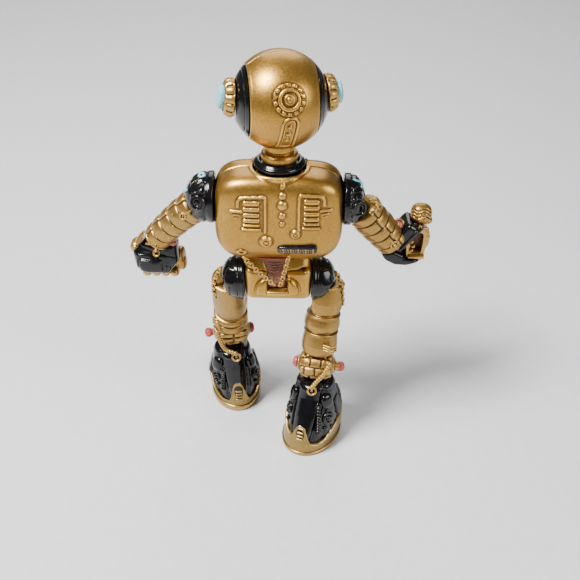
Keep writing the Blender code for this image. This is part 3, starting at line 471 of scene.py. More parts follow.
class Paint:
    """A material's node tree, built a node at a time."""

    def __init__(self, name):
        self.material = bpy.data.materials.new(name)
        self.material.use_nodes = True
        self.tree = self.material.node_tree
        self.shader = self.tree.nodes["Principled BSDF"]
        self.place = self.new("ShaderNodeTexCoord").outputs["Object"]

    def new(self, kind, **values):
        node = self.tree.nodes.new(kind)
        for key, value in values.items():
            setattr(node, key, value)
        return node

    def link(self, source, target):
        self.tree.links.new(source, target)

    def noise(self, grain, detail=3.0, roughness=0.6):
        """Noise with grains of about this many millimetres."""
        node = self.new("ShaderNodeTexNoise")
        self.link(self.place, node.inputs["Vector"])
        node.inputs["Scale"].default_value = 1 / (grain * MM)
        node.inputs["Detail"].default_value = detail
        node.inputs["Roughness"].default_value = roughness
        return node.outputs["Fac"]

    def ramp(self, source, *stops):
        """A colour ramp. Each stop is (position, grey or colour)."""
        node = self.new("ShaderNodeValToRGB")
        self.link(source, node.inputs["Fac"])
        marks = node.color_ramp.elements
        while len(marks) < len(stops):
            marks.new(0.5)
        for mark, (position, value) in zip(marks, stops):
            mark.position = position
            mark.color = (*value, 1) if isinstance(value, tuple) else (value, value, value, 1)
        return node.outputs["Color"]

    def mix(self, share, first, second):
        """second over first by share. Each is a socket, a colour or a number."""
        node = self.new("ShaderNodeMix", data_type="RGBA")
        for value, socket in ((share, node.inputs[0]), (first, node.inputs[6]), (second, node.inputs[7])):
            if isinstance(value, bpy.types.NodeSocket):
                self.link(value, socket)
            elif isinstance(value, tuple):
                socket.default_value = (*value, 1)
            else:
                socket.default_value = value
        return node.outputs[2]

    def math(self, operation, first, second):
        """A maths node over two sockets or numbers, kept between 0 and 1."""
        node = self.new("ShaderNodeMath", operation=operation, use_clamp=True)
        for value, socket in ((first, node.inputs[0]), (second, node.inputs[1])):
            if isinstance(value, bpy.types.NodeSocket):
                self.link(value, socket)
            else:
                socket.default_value = value
        return node.outputs[0]

    def crease(self, *stops):
        """A ramp over how deep in a crease the surface is."""
        return self.ramp(self.new("ShaderNodeAttribute", attribute_name="crease").outputs["Fac"], *stops)

    def nook(self, reach, *stops):
        """A ramp over how shut in the surface is, within reach millimetres."""
        node = self.new("ShaderNodeAmbientOcclusion", samples=6)
        node.inputs["Distance"].default_value = reach * MM
        return self.ramp(node.outputs["AO"], *stops)

    def colour(self, source):
        self.link(source, self.shader.inputs["Base Color"])

    def rough(self, source):
        self.link(source, self.shader.inputs["Roughness"])

    def bumps(self, *layers):
        """Each layer is (height source, depth in millimetres)."""
        before = None
        for source, depth in layers:
            node = self.new("ShaderNodeBump")
            node.inputs["Distance"].default_value = depth * MM
            node.inputs["Strength"].default_value = 1
            self.link(source, node.inputs["Height"])
            if before:
                self.link(before, node.inputs["Normal"])
            before = node.outputs["Normal"]
        self.link(before, self.shader.inputs["Normal"])

    def set(self, **values):
        for key, value in values.items():
            self.shader.inputs[key.replace("_", " ")].default_value = value


def gold_paint(name, deep, body, light, wash_and_shade_colour, metallic, wash_and_shade_share):
    """Speckled antique gold: paler on its proud edges, partly rubbed wear and partly a painted highlight, with a
    brown wash in every recess that also darkens every shut-in place as painted shade.
    """
    paint = Paint(name)
    flakes = paint.noise(0.16, 2)
    clouds = paint.noise(4.0, 4)
    colour = paint.ramp(flakes, (0.30, deep), (0.5, body), (0.68, light))
    patchy = paint.ramp(clouds, (0.35, tuple(0.84 * c for c in body)), (0.65, body))
    colour = paint.mix(0.35, colour, patchy)
    specks = paint.ramp(paint.noise(0.35, 3, 0.7), (0.66, 0.0), (0.74, 0.7))
    colour = paint.mix(specks, colour, wash_and_shade_colour)
    # Painted highlight and wear: proud edges turn the light gold, partly rubbed paint and partly a painted
    # highlight.
    edge_wear_and_highlight = paint.crease((0.26, 1.0), (0.46, 0.0))
    colour = paint.mix(paint.math("MULTIPLY", edge_wear_and_highlight, 0.6), colour, light)
    # Painted shade and wash: the brown wash colour fills concave creases and every place the surface is shut in,
    # also between pieces; partly a real wash, partly painted shade.
    wash_and_shade = paint.math("MAXIMUM", paint.crease((0.54, 0.0), (0.72, 1.0)),
                      paint.nook(0.7, (0.25, 1.0), (0.75, 0.0)))
    wash_and_shade = paint.math("MULTIPLY", wash_and_shade, wash_and_shade_share)
    colour = paint.mix(wash_and_shade, colour, wash_and_shade_colour)
    paint.colour(colour)
    paint.rough(paint.ramp(paint.noise(0.5, 4), (0.3, 0.27), (0.7, 0.42)))
    paint.bumps((flakes, 0.012), (paint.noise(0.9, 3), 0.02))
    paint.set(Metallic=metallic, Coat_Weight=0.04, Coat_Roughness=0.35)
    return paint.material


def gloss_paint(name, colour, shade, worn_colour, worn_share, roughness=(0.1, 0.24)):
    """Brushed-on enamel: pooled and slightly uneven, rubbed through on the sharpest edges, and darker as painted
    shade wherever the surface is shut in.
    """
    paint = Paint(name)
    mixed = paint.ramp(paint.noise(2.2, 4), (0.35, shade), (0.65, colour))
    rubbed = paint.math("MULTIPLY", paint.crease((0.16, 1.0), (0.34, 0.0)),
                        paint.ramp(paint.noise(0.7, 3, 0.7), (0.5, 0.0), (0.6, worn_share)))
    mixed = paint.mix(rubbed, mixed, worn_colour)
    # Painted shade: the colour darkens wherever the surface is shut in.
    crevice_shade = paint.math("MULTIPLY", paint.nook(0.8, (0.3, 1.0), (0.75, 0.0)), 0.5)
    mixed = paint.mix(crevice_shade, mixed, tuple(0.35 * c for c in shade))
    paint.colour(mixed)
    paint.rough(paint.ramp(paint.noise(0.8, 4), (0.3, roughness[0]), (0.7, roughness[1])))
    paint.bumps((paint.noise(1.6, 2), 0.03), (paint.noise(0.25, 2), 0.004))
    paint.set(Coat_Weight=0.2, Coat_Roughness=0.06, Specular_IOR_Level=0.3)
    return paint.material


# The brown of the recess wash and the specks, also used as painted shade in shut-in places.
WASH_AND_SHADE_COLOUR = (0.05, 0.022, 0.009)
GOLD = gold_paint("gold_body", (0.2, 0.092, 0.013), (0.4, 0.206, 0.033), (0.72, 0.43, 0.1), WASH_AND_SHADE_COLOUR, 0.88, 0.6)
PALE = gold_paint("gold_limb", (0.15, 0.075, 0.015), (0.31, 0.168, 0.036), (0.62, 0.385, 0.105), WASH_AND_SHADE_COLOUR, 0.85,
                  0.9)
OLIVE = gold_paint("gold_sole", (0.13, 0.079, 0.019), (0.27, 0.172, 0.044), (0.54, 0.37, 0.12), WASH_AND_SHADE_COLOUR, 0.82,
                   0.85)
BLACK = gloss_paint("gloss_black", (0.004, 0.004, 0.0045), (0.002, 0.002, 0.0023), (0.05, 0.035, 0.018), 0.35)
CYAN = gloss_paint("cyan_enamel", (0.22, 0.56, 0.62), (0.12, 0.42, 0.48), (0.6, 0.72, 0.7), 0.6, (0.25, 0.4))
RED = gloss_paint("red_enamel", (0.5, 0.075, 0.06), (0.34, 0.03, 0.025), (0.55, 0.36, 0.2), 0.5, (0.25, 0.4))
BROWN = gloss_paint("brown_recess", (0.2, 0.065, 0.028), (0.1, 0.03, 0.014), (0.4, 0.22, 0.08), 0.6,
                    (0.35, 0.55))
DARK = gloss_paint("inner_plastic", (0.04, 0.04, 0.042), (0.02, 0.02, 0.021), (0.1, 0.1, 0.1), 0.4,
                   (0.4, 0.6))


# ------------------------------------------------------------------------------------------------ head

HEAD = centre("head_rear_shell") * (0, 0, 1)
HEAD[2] = (centre("left_side_cap")[2] + centre("right_side_cap")[2]) / 2
HEAD_R = centre("head_rear_shell")[2] + half_size("head_rear_shell")[2] - HEAD[2]
HEAD_YAW = 9.5  # degrees, as it is posed
CAP_X = 8.8  # where the gold band ends and the black caps begin
EAR_RISE = 5.3  # degrees
BADGE_RISE, TONGUE_DROP = 21.5, -21.0  # in degrees above the middle of the head's back
HEAD_GRID = (190, 250)


def in_head(points):
    """Points in the head's own frame, turned with it and put in its place."""
    return turn_z(points, HEAD_YAW) + HEAD


def badge_relief(u, v):
    """The cog in the middle of the head's back. u runs across it and v up it."""
    r, a = np.hypot(u, v) / 0.93, np.arctan2(v, u)
    teeth = 14
    swing = ((a / TAU * teeth) % 1 - 0.5) * TAU * 3.75 / teeth
    lift = 0.5 * raised(block_distance(r, swing, 3.75, 0, 0.5, 0.52, 0.25), 0.3)
    lift = np.maximum(lift, 0.66 * pipe(r - 2.5, 0.62) ** 0.8)
    lift = np.where(r < 2.1, 0.15 + 0.45 * raised(r - 1.4, 0.3) + 0.25 * raised(r - 0.6, 0.25), lift)
    return lift + 0.1 * groove(r - 4.5, 0.2)


def tongue_relief(u, v):
    """The arched channel under the cog, with three studs in it."""
    u = u - 0.12 * v
    wide = 1.95
    arch = np.where(v > 2.8, np.hypot(u, v - 2.8), np.abs(u)) - wide
    rim = 0.36 * pipe(arch, 0.34)
    inner = 0.18 * pipe(arch + 0.75, 0.2) - 0.25 * raised(arch + 0.3, 0.2)
    studs = sum(0.5 * pipe(np.hypot(u * s, v - at), 0.62) for at, s in ((2.2, 1), (0.1, 0.8), (-2.1, 1.1)))
    rods = 0.18 * pipe(u, 0.24) * raised(np.abs(v - 0.1) - 2.5)
    return (rim + inner + np.maximum(studs, rods)) * raised(-v - 5.0, 0.3)


def head_half(facing):
    """Half of the gold band round the head, with its detail."""
    x = np.linspace(-CAP_X, CAP_X, HEAD_GRID[0])[:, None]
    seam = 0.006
    a = np.linspace(seam, math.pi - seam, HEAD_GRID[1])[None, :]
    ring = np.sqrt(HEAD_R**2 - x**2)
    y, z = ring * np.sin(a) * facing, ring * np.cos(a)
    edge = 0.3
    lift = -edge * (1 - np.sqrt(1 - np.clip((np.abs(x) - CAP_X + edge) / edge, 0, 1) ** 2)) + 0 * a
    lift = lift + 0.05 * pipe(np.abs(x) - CAP_X + 0.4, 0.4)
    side = np.minimum(a, math.pi - a) * HEAD_R
    lift = lift - 0.12 * (1 - ease(side / 0.25))
    if facing > 0:
        away = np.stack(np.broadcast_arrays(x, y, z), axis=2) / HEAD_R
        for rise, shift, relief in ((BADGE_RISE, 0.6, badge_relief), (TONGUE_DROP, 0.5, tongue_relief)):
            t = math.radians(rise)
            out, up = np.array([0, math.cos(t), math.sin(t)]), np.array([0, -math.sin(t), math.cos(t)])
            u, v = -away[..., 0] * HEAD_R - shift, (away @ up) * HEAD_R
            lift = lift + np.where(away @ out > 0.8, relief(u, v), 0)
    else:
        brow = np.abs(z - 6.2 - 0.02 * x**2)
        lift = lift + 0.16 * groove(brow, 0.12) * raised(np.abs(x) - 7.6)
        chin = line_distance(x + 0 * a, z, ((-5.6, -2.6), (-4.4, -7.4), (4.4, -7.4), (5.6, -2.6)))
        lift = lift + 0.16 * groove(chin, 0.12)
        for sign in (1, -1):
            lift = lift + 0.35 * pipe(np.hypot(x - sign * 6.4, z + 4.6), 0.65)
    base = np.stack(np.broadcast_arrays(x, y, z), axis=2)
    return base * (1 + lift / HEAD_R)[..., None]


def build_head():
    build_halves("head", lambda facing: in_head(head_half(facing)), 1.2, "head")

    for side, sign in SIGN.items():
        out = turn_z((sign, 0, 0), HEAD_YAW)
        tilt = math.radians(EAR_RISE)
        ear = turn_z((sign * math.cos(tilt), 0, math.sin(tilt)), HEAD_YAW)
        start, end = CAP_X + 0.15, HEAD_R - 0.9
        profile = [(math.sqrt(HEAD_R**2 - CAP_X**2) - 1.3, start)]
        profile += [(math.sqrt(HEAD_R**2 - x**2), x) for x in np.linspace(start, end, 26)]
        profile.append((0.01, end))

        def seams(a, h):
            return 0.1 * groove(h - CAP_X - 1.1, 0.12) + 0 * a

        cap = Casting().lathe(soften(profile, 0.25), HEAD, out, 120, seams)
        piece(f"{side}_head_cap", cap, BLACK, "head", "black_paint", f"{side}_side_cap")
        build_ear(side, ear)

    column = [(0.01, 99.6), (4.3, 99.6), (4.3, 97.2), (4.3, 96.2), (4.15, 95.8), (3.75, 95.6), (3.75, 95.2),
              (4.6, 95.0), (5.0, 94.5), (5.05, 93.8), (5.0, 92.9), (4.6, 92.5), (3.9, 92.3), (3.9, 92.1),
              (4.3, 91.95), (3.1, 91.6), (3.1, 88.6), (4.1, 88.5), (4.1, 87.6), (0.01, 87.6)]
    neck = Casting().lathe(soften(column[::-1], 0.14), (0, 0, 0), (0, 0, 1), 96)
    piece("neck_post", neck, GOLD, "head", "gold_paint", "neck_column")
    build_face()


def build_ear(side, out):
    """A stepped knob with twelve fat ribs, and the domed lens set in its end."""
    ribs = 12
    foot = HEAD_R - 0.75
    face = (np.linalg.norm(centre(f"{side}_ear_lens") - HEAD)) - 0.6
    profile = [(0.01, foot), (4.75, foot), (5.1, foot + 0.35), (5.05, foot + 1.1), (4.75, face - 1.0),
               (4.3, face - 0.3), (3.6, face), (3.35, face - 0.35), (0.01, face - 0.35)]

    def ribbed(a, h):
        wave = np.abs(np.sin(a * ribs / 2)) ** 0.55
        return (-0.55 * (1 - wave)) * raised(np.abs(h - (foot + face) / 2) - (face - foot) / 2 + 0.35, 0.5)

    knob = Casting().lathe(finer(soften(profile, 0.3), 0.2), HEAD, out, ribs * 20, ribbed)
    piece(f"{side}_ear_dial", knob, PALE, "head", "gold_paint", f"{side}_ear_knob")
    lens = [(0.01, face - 0.5), (3.05, face - 0.5), (3.05, face + 0.75)]
    lens += [(3.05 * math.cos(t), face + 0.75 + 0.95 * math.sin(t)) for t in np.linspace(0.25, 1.5, 10)]
    glass = Casting().lathe(soften(lens + [(0.01, face + 1.7)], 0.2), HEAD, out, 72)
    piece(f"{side}_ear_glass", glass, CYAN, "head", "cyan_paint", f"{side}_ear_lens")


def face_patch(half_x, low_z, high_z, corner, proud, steps=(110, 60)):
    """A rounded plate that follows the face, standing proud of the head."""
    u = np.linspace(-1, 1, steps[0])[:, None]
    v = np.linspace(-1, 1, steps[1])[None, :]
    middle, half_z = (low_z + high_z) / 2, (high_z - low_z) / 2
    power = 2 / corner
    scale = (np.abs(u) ** corner + np.abs(v) ** corner) ** (1 / corner)
    flat = np.maximum(np.abs(u), np.abs(v)) / np.maximum(scale, 1e-6)
    x, z = u * flat * half_x, middle + v * flat * half_z
    rim = np.maximum(np.abs(u), np.abs(v))
    lift = proud * np.sqrt(1 - np.clip((rim - 0.86) / 0.14, 0, 1) ** 2) ** power
    radius = HEAD_R - 0.2 + lift
    y = -np.sqrt(np.maximum(radius**2 - x**2 - z**2, 0))
    return np.stack([x, y, z + 0 * x], axis=2)


def build_face():
    """A plain face of the maker's own: a dark visor, two lamp eyes and a slotted mouth."""
    visor = face_patch(7.5, -2.0, 5.2, 4.0, 1.0)
    piece("visor_glass", Casting().sheet_grid(in_head(visor), 0.7), BLACK, "head", "black_paint",
          "face_visor")
    mouth = Casting().sheet_grid(in_head(face_patch(3.3, -5.9, -3.3, 4.0, 0.75, (60, 30))), 0.6)
    piece("mouth_plate", mouth, BLACK, "head", "black_paint", "mouth_grille")
    bars = Casting()
    for x in np.arange(-2.4, 2.5, 0.8):
        z = np.linspace(-5.4, -3.8, 8)
        y = -np.sqrt((HEAD_R + 0.5) ** 2 - x**2 - z**2)
        bars.tube(in_head(np.stack([x + 0 * z, y, z], axis=1)), 0.2, 10)
    piece("mouth_bars", bars, GOLD, "head", "gold_paint")
    for side in SIGN:
        at = centre(f"{side}_eye_lens")
        out = unit(at - HEAD)
        lens = [(0.01, -0.4), (1.75, -0.4), (1.75, 0.15)]
        lens += [(1.75 * math.cos(t), 0.15 + 0.7 * math.sin(t)) for t in np.linspace(0.3, 1.5, 8)]
        glass = Casting().lathe(soften(lens + [(0.01, 0.85)], 0.1), at, out, 48)
        piece(f"{side}_eye_glass", glass, CYAN, "head", "cyan_paint", f"{side}_eye_lens")
        bezel = [(1.8, -0.4), (2.35, -0.4), (2.35, 0.2), (2.15, 0.55), (1.85, 0.55), (1.8, 0.3), (1.8, -0.4)]
        rim = Casting().lathe(soften(bezel, 0.15), at, out, 64)
        piece(f"{side}_eye_rim", rim, GOLD, "head", "gold_paint")


# ----------------------------------------------------------------------------------------------- torso

TORSO = centre("torso_rear_shell") * (0, 0, 1)
TORSO_HALF = half_size("torso_rear_shell") * (1, 0, 1) + np.array([0, 9.5, 0])
TORSO_POWER = (4.2, 3.1)  # how square the outline is above and below the middle
# How square the depth is: the plain power, then what is added at the sides and at the top.
FRONT_POWERS, REAR_POWERS = (2.8, 1.6, 0.0), (2.2, 2.2, 3.2)
SPINE_X = -0.95
SPINE_BUMPS = ((88.8, 0.7), (86.3, 1.0), (83.6, 1.35), (80.5, 1.0), (78.0, 0.8))
COLLAR_Z = 91.4
# The radiators, as distances from the spine and heights.
# RIBS are levels with half-heights, and SIDE_BARS are a level, both ends and a thickness.
RIBS = ((84.1, 0.72), (82.35, 0.6), (80.6, 0.6), (78.9, 0.6), (77.5, 0.38), (76.2, 0.4))
RIB_AT, RIB_HALF = 8.25, 2.3
RIB_FRAME = ((4.5, 75.4), (4.5, 85.5), (4.9, 85.95), (10.4, 85.65), (11.3, 85.3), (11.75, 84.6), (11.8, 83.0))
RIB_TRENCH = ((3.95, 75.6), (3.95, 86.4), (4.1, 86.6), (11.3, 86.4), (12.3, 85.8))
SIDE_BARS = ((81.5, 10.7, 13.7, 0.42), (80.4, 11.5, 12.8, 0.32), (79.5, 12.1, 12.4, 0.28))


def torso_powers(x, z, rear=True):
    """The powers of the outline and of the depth: boxier towards the sides and, at the rear, the top."""
    p = np.where(z > 0, TORSO_POWER[0], TORSO_POWER[1])
    sideways, upward = np.abs(x) ** p, np.abs(z) ** p
    share = sideways / np.maximum(sideways + upward, 1e-9)
    plain, to_side, to_top = REAR_POWERS if rear else FRONT_POWERS
    return p, plain + to_side * share + to_top * (z > 0) * (1 - share)


def depth_at(x, z):
    """How far behind the axis the torso's rear surface lies."""
    x, z = x / TORSO_HALF[0], (z - TORSO[2]) / TORSO_HALF[2]
    p, q = torso_powers(x, z)
    across = (np.abs(x) ** p + np.abs(z) ** p) ** (q / p)
    return TORSO_HALF[1] * np.maximum(1 - across, 0) ** (1 / q)


def back_spot(x, z, lift=0.0):
    """A point on the torso's back, and the way out from it."""
    step = 0.2
    slope_x = (depth_at(x + step, z) - depth_at(x - step, z)) / (2 * step)
    slope_z = (depth_at(x, z + step) - depth_at(x, z - step)) / (2 * step)
    out = unit((-slope_x, 1, -slope_z))
    return np.array([x, float(depth_at(x, z)), z]) + out * lift, out


def radiator(u, z):
    """Ribs in a pipe frame. u is the distance from the spine."""
    lift = 0.0
    for level, half in RIBS:
        wide = RIB_HALF + 0.4 * (level == RIBS[-1][0])
        end = np.clip((np.abs(u - RIB_AT) - wide + half) / half, 0, 1)
        bar = np.sqrt(np.clip(1 - ((z - level) / half) ** 2 - end**2, 0, 1))
        lift = np.maximum(lift, 0.65 * bar**0.7)
    lift = np.maximum(lift, 0.5 * pipe(line_distance(u, z, RIB_FRAME), 0.42))
    lift = lift + 0.2 * groove(line_distance(u, z, RIB_TRENCH), 0.16)
    for level, low, high, thick in SIDE_BARS:
        bar = line_distance(u, z, ((low, level), (high, level)))
        lift = np.maximum(lift, thick * pipe(bar, thick))
    return lift


def back_relief(x, z):
    """All that is moulded on the torso's back."""
    u = np.abs(x - SPINE_X)
    lift = np.where(x > SPINE_X, radiator(u, z), radiator(u + 0.6 * ease((u - 4.6) / 2), z - 0.65))
    for level, size in SPINE_BUMPS:
        from_bump = np.hypot(x - SPINE_X, z - level)
        lift = np.maximum(lift, 0.62 * size * pipe(from_bump, size))
        lift = lift - 0.07 * np.exp(-(((from_bump - size - 0.1) / 0.2) ** 2))
    for bx, bz, size in ((3.3, 72.4, 1.9), (-4.6, 75.0, 1.45)):
        r = np.hypot(x - bx, z - bz)
        step = 0.75 * np.sqrt(np.clip(1 - (r / size) ** 2, 0, 1)) ** 0.6 * raised(r - size, 0.2)
        cup = 0.3 * pipe(r - 0.62 * size, 0.2 * size) + 0.3 * pipe(r, 0.34 * size)
        lift = np.maximum(lift, step * 0.8 + cup)
    lens = np.hypot((x - 10.1) / 1.4, (z - 68.5) / 0.85)
    lift = lift + 0.5 * pipe(lens - 0.75, 0.34) - 0.3 * raised(lens - 0.45, 0.2)
    return lift


def front_relief(x, z):
    """A plain chest of the maker's own: a framed plate, a round dial and a row of studs."""
    plate = block_distance(x, z, 0, 79.6, 11.2, 7.4, 2.0)
    lift = 0.35 * raised(plate, 0.4) + 0.12 * groove(plate + 1.0, 0.14)
    dial = np.hypot(x, z - 82)
    lift = np.maximum(lift, 0.35 + 0.75 * raised(dial - 3.6, 0.35) * (dial < 4.2))
    lift = lift + 0.3 * pipe(dial - 2.9, 0.4) - 0.3 * raised(dial - 2.3, 0.3) + 0.45 * pipe(dial, 1.1)
    for i in range(12):
        a = i * TAU / 12
        lift = lift + 0.22 * pipe(np.hypot(x - 1.75 * math.cos(a), z - 82 - 1.75 * math.sin(a)), 0.26)
    for sign in (1, -1):
        for row in range(4):
            slot = block_distance(x, z, sign * 7.6, 84.0 - 1.7 * row, 2.2, 0.5, 0.45)
            lift = lift + 0.4 * raised(slot, 0.3)
        lift = lift + 0.3 * pipe(np.hypot(x - sign * 9.6, z - 74.4), 0.8)
    for i in range(5):
        lift = lift + 0.45 * pipe(np.hypot(x - 2.2 * (i - 2), z - 74.6), 0.7)
    belt = np.abs(z - 69.2 - 0.012 * x**2)
    return lift + 0.14 * groove(belt, 0.14) + 0.14 * groove(belt - 1.6, 0.14)


def torso_half(facing):
    """Half of the torso, as a square sheet stretched over it with its relief."""
    x, z, y = half_ball((330, 290), 0.004)
    p, q = torso_powers(x, z, facing > 0)
    size = ((np.abs(x) ** p + np.abs(z) ** p) ** (q / p) + y**q) ** (1 / q)
    grid = np.stack([x / size * TORSO_HALF[0], y / size * TORSO_HALF[1], z / size * TORSO_HALF[2]], axis=2)
    if facing < 0:
        grid[..., 1] *= -1
        grid = grid[::-1]
    out = grid_normals(grid)
    if (out[..., 1] * facing).mean() < 0:
        grid = grid[::-1]
        out = grid_normals(grid)
    wx, wz = grid[..., 0], grid[..., 2] + TORSO[2]
    lift = (back_relief if facing > 0 else front_relief)(wx, wz) * ease(np.abs(grid[..., 1]) / 3)
    seam = np.abs(grid[..., 1])
    lift = lift - 0.16 * (1 - ease(seam / 0.3)) + 0.05 * pipe(seam - 0.6, 0.35)
    for sign in (1, -1):
        seat = np.hypot(grid[..., 1], wz - SHOULDER[2])
        wanted = sign * (SHOULDER_FACE - 0.15)
        near = raised(seat - SHOULDER_R - 0.6, 0.5) * (grid[..., 0] * sign > 0)
        grid[..., 0] = grid[..., 0] * (1 - near) + np.clip(grid[..., 0], -abs(wanted), abs(wanted)) * near
    grid = grid + out * lift[..., None]
    ring = np.hypot(grid[..., 0], grid[..., 1])
    top = grid[..., 2] > 5
    lip = COLLAR_Z - 0.65 - TORSO[2]
    if facing > 0:
        rise = np.clip(lip - grid[..., 2], 0, 0.9) * raised(np.abs(ring - 7.5) - 0.75, 0.8)
    else:
        # The chest slopes away faster, so a flared bezel carries the collar there.
        below = lip - 2.1 * np.maximum(ring - 7.3, 0) ** 1.3 - grid[..., 2]
        rise = 0.7 * np.log1p(np.exp(below / 0.7)) * (ring > 6.4) * ease(np.abs(grid[..., 1]) / 3)
    grid[..., 2] += top * rise
    over = np.maximum(grid[..., 2] - (COLLAR_Z - 2.9 - TORSO[2]), 0)
    grid[..., 2] -= top * raised(ring - 7.2, 0.25) * over
    return grid + TORSO


SHOULDER_R, SHOULDER_FACE, SHOULDER_STRAIGHT = 7.0, 17.6, 1.4
SHOULDER_DEPTH = {"left": 8.3, "right": 5.7}
SHOULDER = np.array([0, 0, centre("left_shoulder_peg")[2]])


def build_torso():
    build_halves("torso", torso_half, 1.0, "torso")

    collar = [(3.25, -2.6), (6.0, -2.6), (6.0, -0.4), (6.75, -0.3), (7.05, 0.15), (6.9, 0.75), (6.35, 1.15),
              (5.95, 1.6), (5.45, 1.6), (5.2, 1.2), (5.15, 0.3), (3.25, 0.3), (3.25, -2.6)]
    ring = Casting().lathe(soften(collar, 0.25), (0, 0, COLLAR_Z), (0, 0, 1), 120)
    piece("neck_gasket", ring, BLACK, "torso", "black_paint", "neck_collar")

    at, out = back_spot(-5.2, 69.9, 0.1)
    tilt = (0.07, 0, 1)
    plate = Casting().pebble((5.5, 1.35, 0.8), at, out, power=5, size=(110, 22), up=tilt)
    piece("back_tally_plate", plate, BLACK, "torso", "black_paint", "lower_back_vent")
    marks = Casting()
    x, y, z = basis(out, tilt)
    for row, size in ((0.42, 0.26), (-0.45, 0.2)):
        for i in range(14):
            spot = at + x * (i - 6.5) * 0.68 + y * row + z * 0.8
            if i % 3 == 1:
                marks.ring(spot, out, size * 0.8, 0.1, 14, 6)
            else:
                marks.brick((size * 0.45, size * (0.9 + 0.3 * (i % 2)), 0.16), spot, out, 0.08, up=tilt)
    piece("back_tally_marks", marks, PALE, "torso", "gold_paint")
    build_waist()


def build_waist():
    """The waist block with its sloping cheeks and its dark recessed panel, and the chains."""
    body = Casting()
    body.brick((8.4, 4.6, 2.2), (0, 0, 63.0), corner=0.5)
    body.brick((5.0, 3.1, 1.4), (0, 0, 60.4), corner=0.3)
    corners = ((3.0, 2.7), (-1.4, 1.7), (-3.4, -2.6), (1.4, -1.9), (2.8, -1.0))
    for sign in (1, -1):
        cheek = [(-sign * x, z) for x, z in corners]
        body.pebble((3.2, 2.5, 1.1), (1.0 + sign * 5.4, 5.25, 63.3), (0, 1, 0.35), power=9, outline=cheek,
                    size=(110, 20))
    piece("waist_core", body, GOLD, "torso", "gold_paint", "waist_block")
    panel = Casting()
    shape = [(-4.1, 2.4), (4.1, 2.4), (3.4, 0.6), (2.6, -1.4), (2.3, -2.4), (-2.3, -2.4), (-2.6, -1.4),
             (-3.4, 0.6)]
    panel.pebble((4, 2.4, 0.5), (1.2, 5.75, 62.6), (0, 1, 0), power=9, outline=shape, size=(96, 16))
    panel.brick((2.5, 0.4, 2.9), (0.5, 5.75, 58.0), corner=0.2)
    for row, wide in enumerate((2.5, 2.1, 1.8, 1.6)):
        z = 63.6 - 0.95 * row
        rib = [(1.1 + wide, 6.25, z + 0.15), (1.1, 6.45, z - 0.2), (1.1 - wide, 6.25, z + 0.15)]
        panel.strand(rib, 0.17, 8)
    piece("waist_inset", panel, BROWN, "torso", "brown_paint", "waist_panel")
    edge = Casting().tube([(5.4, 6.25, 64.95), (1.2, 6.4, 64.9), (-2.9, 6.25, 64.95)], 0.2, 10)
    piece("waist_inset_edge", edge, RED, "torso", "red_paint")

    for side, top, foot in (("left", (9.3, 8.4, 66.2), (1.35, 8.5, 57.8)),
                            ("right", (-2.8, 8.7, 66.9), (-0.75, 8.5, 57.8))):
        top, foot = np.array(top), np.array(foot)
        sag = [top + (foot - top) * t - np.array([0, 0, 1.6 * t * (1 - t)]) for t in (0, 0.25, 0.5, 0.75, 1)]
        links = Casting().chain(sag, 0.92, 0.52, 0.28, 1.3)
        piece(f"{side}_chain", links, PALE, "torso", "gold_paint", f"{side}_waist_chain")


PELVIS = np.array([0, 0, 56.0])
PELVIS_HALF = np.array([9.4, 6.5, 5.2])


def pelvis_half(facing):
    """Half of the pelvis: a box with soft edges, its top edge rising to the outer corners."""
    x, z, y = half_ball((150, 110), 0.006)
    p = 9.0
    size = (np.abs(x) ** p + np.abs(z) ** p + y**p) ** (1 / p)
    grid = np.stack([x / size * PELVIS_HALF[0], facing * y / size * PELVIS_HALF[1],
                     z / size * PELVIS_HALF[2]], axis=2)
    if (grid_normals(grid)[..., 1] * facing).mean() < 0:
        grid = grid[::-1]
    wx, wz = grid[..., 0], grid[..., 2]
    face = ease((np.abs(grid[..., 1]) - 5.4) / 0.8)
    if facing > 0:
        notch = block_distance(wx, wz, 0.35, 2.4, 2.85, 3.8, 0.3)
        arch = np.hypot((wx - 0.1) / 6.5, (np.maximum(wz + 1.9, 0)) / 5.3) * 6 - 6
        lift = 0.16 * groove(arch - 0.1, 0.22) * raised(-wz - 2.2, 1.2) - 1.1 * raised(notch, 0.3)
        shoulder_dip = 0.14 * ease((8.7 - np.abs(wx)) / 1.8)
        grid[..., 2] = np.where(wz > 0, wz * (1 - shoulder_dip * ease(wz / 4.0)), wz)
    else:
        plate = block_distance(wx, wz, 0, 0, 5.6, 3.0, 1.2)
        lift = 0.3 * raised(plate, 0.4) + 0.35 * pipe(np.hypot(wx, wz), 1.5)
        lift = lift + 0.12 * groove(plate - 0.6, 0.14)
    seam = np.abs(grid[..., 1])
    grid[..., 1] += facing * lift * face
    squeeze = 0.14 * (1 - ease(seam / 0.3))
    grid[..., 2] -= np.sign(wz) * squeeze * (np.abs(wz) > 4)
    return grid + PELVIS


